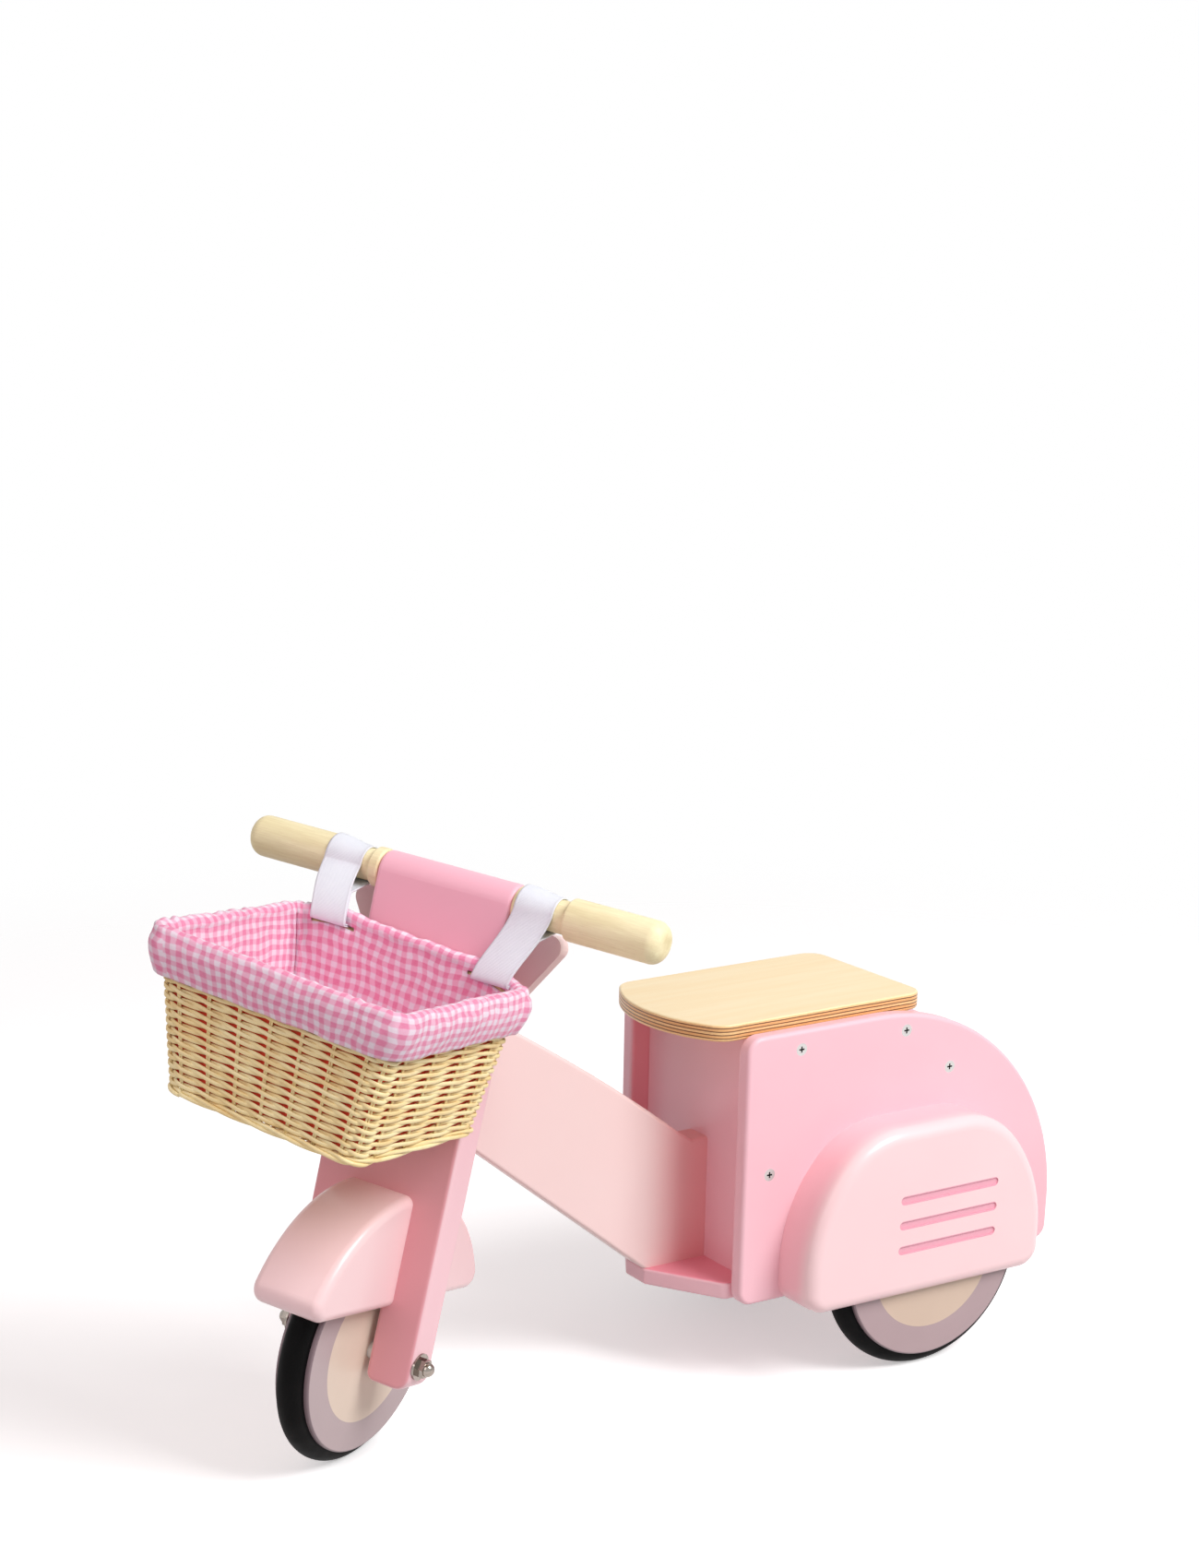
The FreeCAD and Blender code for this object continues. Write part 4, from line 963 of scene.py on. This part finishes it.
def liner():
    """The liner as one cloth: its floor, the four inner sides, the fold over the rim and the cuff outside."""
    columns = liner_columns()
    stations = liner_stations()
    cloth_spans = spans(0)
    cloth_spans[1::2] = [(basket_corner + 4) * math.pi / 2] * 4
    around = [(sum(cloth_spans[:span]) + share * cloth_spans[span]) / check_across for span, share in columns]
    around.append(sum(cloth_spans) / check_across)
    fold_start = len(stations) - 20

    def place(column, station):
        span, share = columns[column]
        out, height, drawn = stations[station]
        lengths = spans(height)
        distance = sum(lengths[:span]) + share * lengths[span]
        reach = around[column] * check_across
        rise = 0.0
        if drawn == 1 and station < fold_start:
            out += 0.9 * drift(reach / 34, height / 30, 2.0)
            out += 0.35 * drift(reach / 9, height / 22, 7.0)
            turn = abs(share - 0.5) if span % 2 else 1.0
            if turn < 1:
                crease = 2.4 if span == 5 else 1.5
                out -= crease * math.sin(math.pi * min(1.0, turn * 2)) * min(1.0, (height + 108) / 20)
        elif drawn == 1:
            turned = (station - fold_start) / 8
            slant = reach + 3.5 * turned
            ripple = drift(slant / 4.6, turned * 0.5, 11.0)
            pucker = 2.6 if span in (2, 3, 5, 6, 7) else 1.6
            below = 1.0 if station < fold_start + 10 else math.exp((height + 8) / 9)
            out_more = pucker * ripple * below
            out_more += 1.4 * drift(reach / 30, height / 26, 5.0)
            out_more += 0.9 * drift(reach / 11, height / 45, 8.0)
            if station < fold_start + 9:
                rise += pucker * ripple * math.sin(math.pi * turned)
                out += 0.4 * out_more
            else:
                out += out_more
                rise += 1.1 * drift(reach / 22, 3.0, 1.0) * min(1.0, -height / 20)
                hem = max(0.0, (-height - 22) / 10)
                out += 0.45 * hem * drift(reach / 3.6, 1.0, 6.0)
                if span in (3, 7):
                    out += 2.4 * math.sin(math.pi * share) * min(1.0, (-height - 4) / 8)
                if span == 1 and abs(share - 0.2) < 0.06:
                    out -= 0.8
        point = on_wall(height, distance, out)
        if drawn < 1:
            middle = aside(height)
            point.x = middle.x + (point.x - middle.x) * drawn
            point.y = middle.y + (point.y - middle.y) * drawn
            point.z += 0.5 * drift(point.x / 30, point.y / 30, 4.0)
        point.z += rise
        return lifted(point)

    sheet = grown(len(columns), len(stations), place, True)
    station_of = sheet.verts.layers.int["station"]
    along = [0.0]
    for number in range(1, len(stations)):
        before, now = stations[number - 1], stations[number]
        along.append(along[-1] + math.hypot(now[0] - before[0], now[1] - before[1]) / check)
    middle = [vert for vert in sheet.verts if vert[station_of] == 0]
    rim = [edge for edge in sheet.edges if edge.is_boundary and all(vert in middle for vert in edge.verts)]
    bmesh.ops.holes_fill(sheet, edges=rim, sides=0)
    lay_pattern(sheet, around, along, True, flat_until=8)
    slit_station = next(number for number, station in enumerate(stations) if station[1] == slit_low)
    opened = []
    for face in sheet.faces:
        numbers = [vert[station_of] for vert in face.verts]
        if min(numbers) == slit_station and max(numbers) == slit_station + 1:
            middle_of_face = face.calc_center_median()
            if middle_of_face.x < 0 and any(abs(middle_of_face.y - place) < slit_reach
                                             for place in slit_places.values()):
                opened.append(face)
    bmesh.ops.delete(sheet, geom=opened, context="FACES")
    bmesh.ops.recalc_face_normals(sheet, faces=sheet.faces)
    return sheet


liner_piece = finished("basket_lining", liner(), basket_frame, liner_back, "basket",
                       ["basket_liner"])
thickness = thicken(liner_piece, "cloth", cloth_thickness)
thickness.material_offset = 1
thickness.material_offset_rim = 1
liner_piece.data.materials.append(liner_cloth.material)

# The straps
strap_half = 15.0
tape = 0.9
tape_gap = 0.65             # of a layer's middle from the middle of the doubled tail
strap_tops = {1: 75.6, -1: -86.8}           # of the tapes' middles on the handles' axis
strap_feet = {1: 75.7, -1: -59.3}           # and at the back wall, in the basket's frame
strap_ease = {1: (22.0, 11.0), -1: (6.0, 15.0)}
strap_sway = {1: 0.5, -1: 1.0}
strap_rests = {1: (ring_end + 26, ring_end - 3, ring_radius),
               -1: (neck_end - 27, neck_end + 2, grip_radius)}


def strap_foot(side):
    """Where a strap goes through the back wall, in the fork's frame."""
    height = -10.0
    wall = Vector((-half_sizes(height)[0] + aside(height).x, strap_feet[side], height))
    return basket_in_fork @ lifted(wall)


def strap_run(side, radius):
    """The tape's middle line in the fork's frame: in through the slit, up, round the neck and back."""
    slit = strap_foot(side)
    tail = slit.x + 8.0
    outside = slit.x - 6.0
    meet = bar_height - 18.0
    run = []

    def line(start, end, steps):
        for number in range(steps):
            run.append(tuple(Vector(start).lerp(Vector(end), number / steps)))

    def bend(x, z, radius_here, start, end, steps):
        for number in range(steps):
            angle = math.radians(start + (end - start) * number / steps)
            run.append((x + radius_here * math.cos(angle), z + radius_here * math.sin(angle)))

    high_ease, low_ease = strap_ease[side]
    corners = [Vector((tail + tape_gap, slit.z + 2)), Vector((tail + tape_gap, slit.z + 2 + low_ease)),
               Vector((fork_middle + radius, bar_height - high_ease)),
               Vector((fork_middle + radius, bar_height))]
    front = geometry.interpolate_bezier(*corners, 25)
    behind = []
    for low, high in zip(front, front[1:]):
        up = (high - low).normalized()
        behind.append(low + Vector((-up.y, up.x)) * 2 * tape_gap)
    behind = [point for point in behind if point.y < meet]
    last = behind[-1]
    away = math.hypot(last.x - fork_middle, last.y - bar_height)
    rear = math.atan2(last.y - bar_height, last.x - fork_middle) - math.acos(radius / away) + 2 * math.pi

    line((outside, slit.z - tape_gap), (tail - 2.0, slit.z - tape_gap), 6)
    bend(tail - 2.0, slit.z + 2.0, 2.0 + tape_gap, -90, 0, 4)
    run += [tuple(point) for point in front[:-1]]
    for number in range(29):
        angle = rear * number / 28
        run.append((fork_middle + radius * math.cos(angle), bar_height + radius * math.sin(angle)))
    line(run.pop(), tuple(last), 12)
    run += [tuple(point) for point in reversed(behind)]
    run.pop()
    bend(tail - 2.0, slit.z + 2.0, 2.0 - tape_gap, 0, -90, 4)
    line((tail - 2.0, slit.z + tape_gap), (outside, slit.z + tape_gap), 6)
    run.append((outside, slit.z + tape_gap))
    return run


def strap(side):
    """A strap as one flat tape that leans from the slit to its place on the neck, and rides up beside it."""
    slit = strap_foot(side)
    widths = [-1, -0.93, -0.8, -0.6, -0.3, 0, 0.3, 0.6, 0.8, 0.93, 1]
    runs = []
    for share in widths:
        beside = abs(strap_tops[side] + share * strap_half)
        low, high, rest_radius = strap_rests[side]
        up = within_one((beside - low) / (high - low))
        rise = (rest_radius - neck_radius) * up * up * (3 - 2 * up)
        runs.append(strap_run(side, neck_radius + rise + 0.5 + tape / 2))
    around = [0.0]
    for before, now in zip(runs[5], runs[5][1:]):
        around.append(around[-1] + math.dist(before, now))

    def place(column, station):
        x, z = runs[column][station]
        share = within_one((bar_height - z) / (bar_height - slit.z))
        sway = strap_sway[side]
        gone = (1 - sway) * share + sway * share * share * (3 - 2 * share)
        middle = strap_tops[side] + (slit.y - strap_tops[side]) * gone
        return Vector((x, middle + widths[column] * strap_half, z))

    sheet = grown(len(widths), len(runs[0]), place, False)
    lay_pattern(sheet, [share * strap_half for share in widths], around, False)
    bmesh.ops.recalc_face_normals(sheet, faces=sheet.faces)
    return sheet, around[-1]


for side, word in ((1, "left"), (-1, "right")):
    shape, length = strap(side)
    strap_piece = finished("strap_tape_" + word, shape, fork_frame, webbing, "basket",
                           ["strap_" + word])
    thicken(strap_piece, "tape", tape)


def shows_room(tree):
    """1 for the rays of the camera, of gloss and of glass, in a material or in the world."""
    rays = tree.nodes.new("ShaderNodeLightPath")
    seen = rays.outputs["Is Camera Ray"]
    for ray in ("Is Glossy Ray", "Is Transmission Ray"):
        most = tree.nodes.new("ShaderNodeMath")
        most.operation = "MAXIMUM"
        tree.links.new(seen, most.inputs[0])
        tree.links.new(rays.outputs[ray], most.inputs[1])
        seen = most.outputs[0]
    return seen


# The pale floor, which keeps the shadow and fades out before its edge
floor_shape = bmesh.new()
bmesh.ops.create_grid(floor_shape, x_segments=1, y_segments=1, size=4.0)
floor_mesh = meshed("floor", floor_shape)
floor = placed("floor", floor_mesh)
floor_light = 0.42          # that the white floor shows on top of what falls on it
ground = Finish("pale floor", Roughness=0.95, Specular_IOR_Level=0.0)
shown = shows_room(ground.tree)
ground.colour(shown, (0.55, 0.55, 0.55, 1), (0.93, 0.93, 0.93, 1))
glow = ground.node("ShaderNodeEmission")
glow.inputs["Color"].default_value = (1, 1, 1, 1)
ground.feed(glow.inputs["Strength"], ground.sum("MULTIPLY", shown, floor_light))
lit_floor = ground.node("ShaderNodeAddShader")
ground.feed(lit_floor.inputs[0], ground.shader.outputs[0])
ground.feed(lit_floor.inputs[1], glow.outputs[0])
clear = ground.node("ShaderNodeBsdfTransparent").outputs[0]
fade = ground.span(ground.vector("LENGTH", ground.place), 0.9, 2.0, smooth=True)
both = ground.node("ShaderNodeMixShader")
ground.feed(both.inputs[0], fade)
ground.feed(both.inputs[1], lit_floor.outputs[0])
ground.feed(both.inputs[2], clear)
ground.feed(ground.tree.nodes["Material Output"].inputs["Surface"], both.outputs[0])
floor_mesh.materials.append(ground.material)

# Soft light: a white room, and a large lamp high on the scooter's left
world = bpy.data.worlds.new("white room")
bpy.context.scene.world = world
world.use_nodes = True
room = world.node_tree
room_light = 0.34
lit = room.nodes["Background"]
lit.inputs["Color"].default_value = (1.0, 0.92, 0.925, 1)
lit.inputs["Strength"].default_value = room_light
white = room.nodes.new("ShaderNodeBackground")
white.inputs["Color"].default_value = (1, 1, 1, 1)
white.inputs["Strength"].default_value = 1.0
choice = room.nodes.new("ShaderNodeMixShader")
room.links.new(shows_room(room), choice.inputs[0])
room.links.new(lit.outputs[0], choice.inputs[1])
room.links.new(white.outputs[0], choice.inputs[2])
room.links.new(choice.outputs[0], room.nodes["World Output"].inputs["Surface"])


def lamp(name, azimuth, elevation, distance, size, power, colour=(1, 1, 1)):
    """A square soft lamp aimed at the scooter, azimuth from its front towards its left."""
    light = bpy.data.lights.new(name, "AREA")
    light.size = size
    light.energy = power
    light.color = colour
    made = placed(name, light)
    turn, up = math.radians(azimuth), math.radians(elevation)
    towards = Vector((math.cos(turn) * math.cos(up), math.sin(turn) * math.cos(up), math.sin(up)))
    made.location = Vector((0, 0, 0.25)) + towards * distance
    made.rotation_euler = towards.to_track_quat("Z", "Y").to_euler()


lamp("key", 116, 44, 2.6, 1.3, 60)
lamp("fill", 16, 34, 3.0, 2.0, 21, (1.0, 0.86, 0.87))

# The camera, as solved from the photograph
camera_away = Vector((1.3121, 1.6388, 0.8700))
camera_azimuth = math.radians(61.7196)
camera_elevation = math.radians(20.3957)
camera_roll = math.radians(0.6401)
back = Vector((math.cos(camera_azimuth) * math.cos(camera_elevation),
               math.sin(camera_azimuth) * math.cos(camera_elevation), math.sin(camera_elevation)))
right = Vector((-math.sin(camera_azimuth), math.cos(camera_azimuth), 0))
down = right.cross(back)
right_rolled = right * math.cos(camera_roll) + down * math.sin(camera_roll)
down_rolled = down * math.cos(camera_roll) - right * math.sin(camera_roll)
lens = bpy.data.cameras.new("photo camera")
lens.sensor_width = 36.0
lens.lens = 60.19
lens.shift_x = 0.1326
lens.shift_y = 0.2706
lens.clip_start = 0.05
camera = placed("photo camera", lens)
turned = Matrix((right_rolled, -down_rolled, back)).transposed().to_4x4()
camera.matrix_world = Matrix.Translation(axle_floor + camera_away) @ turned
bpy.context.scene.camera = camera
bpy.context.scene.view_settings.view_transform = "Standard"
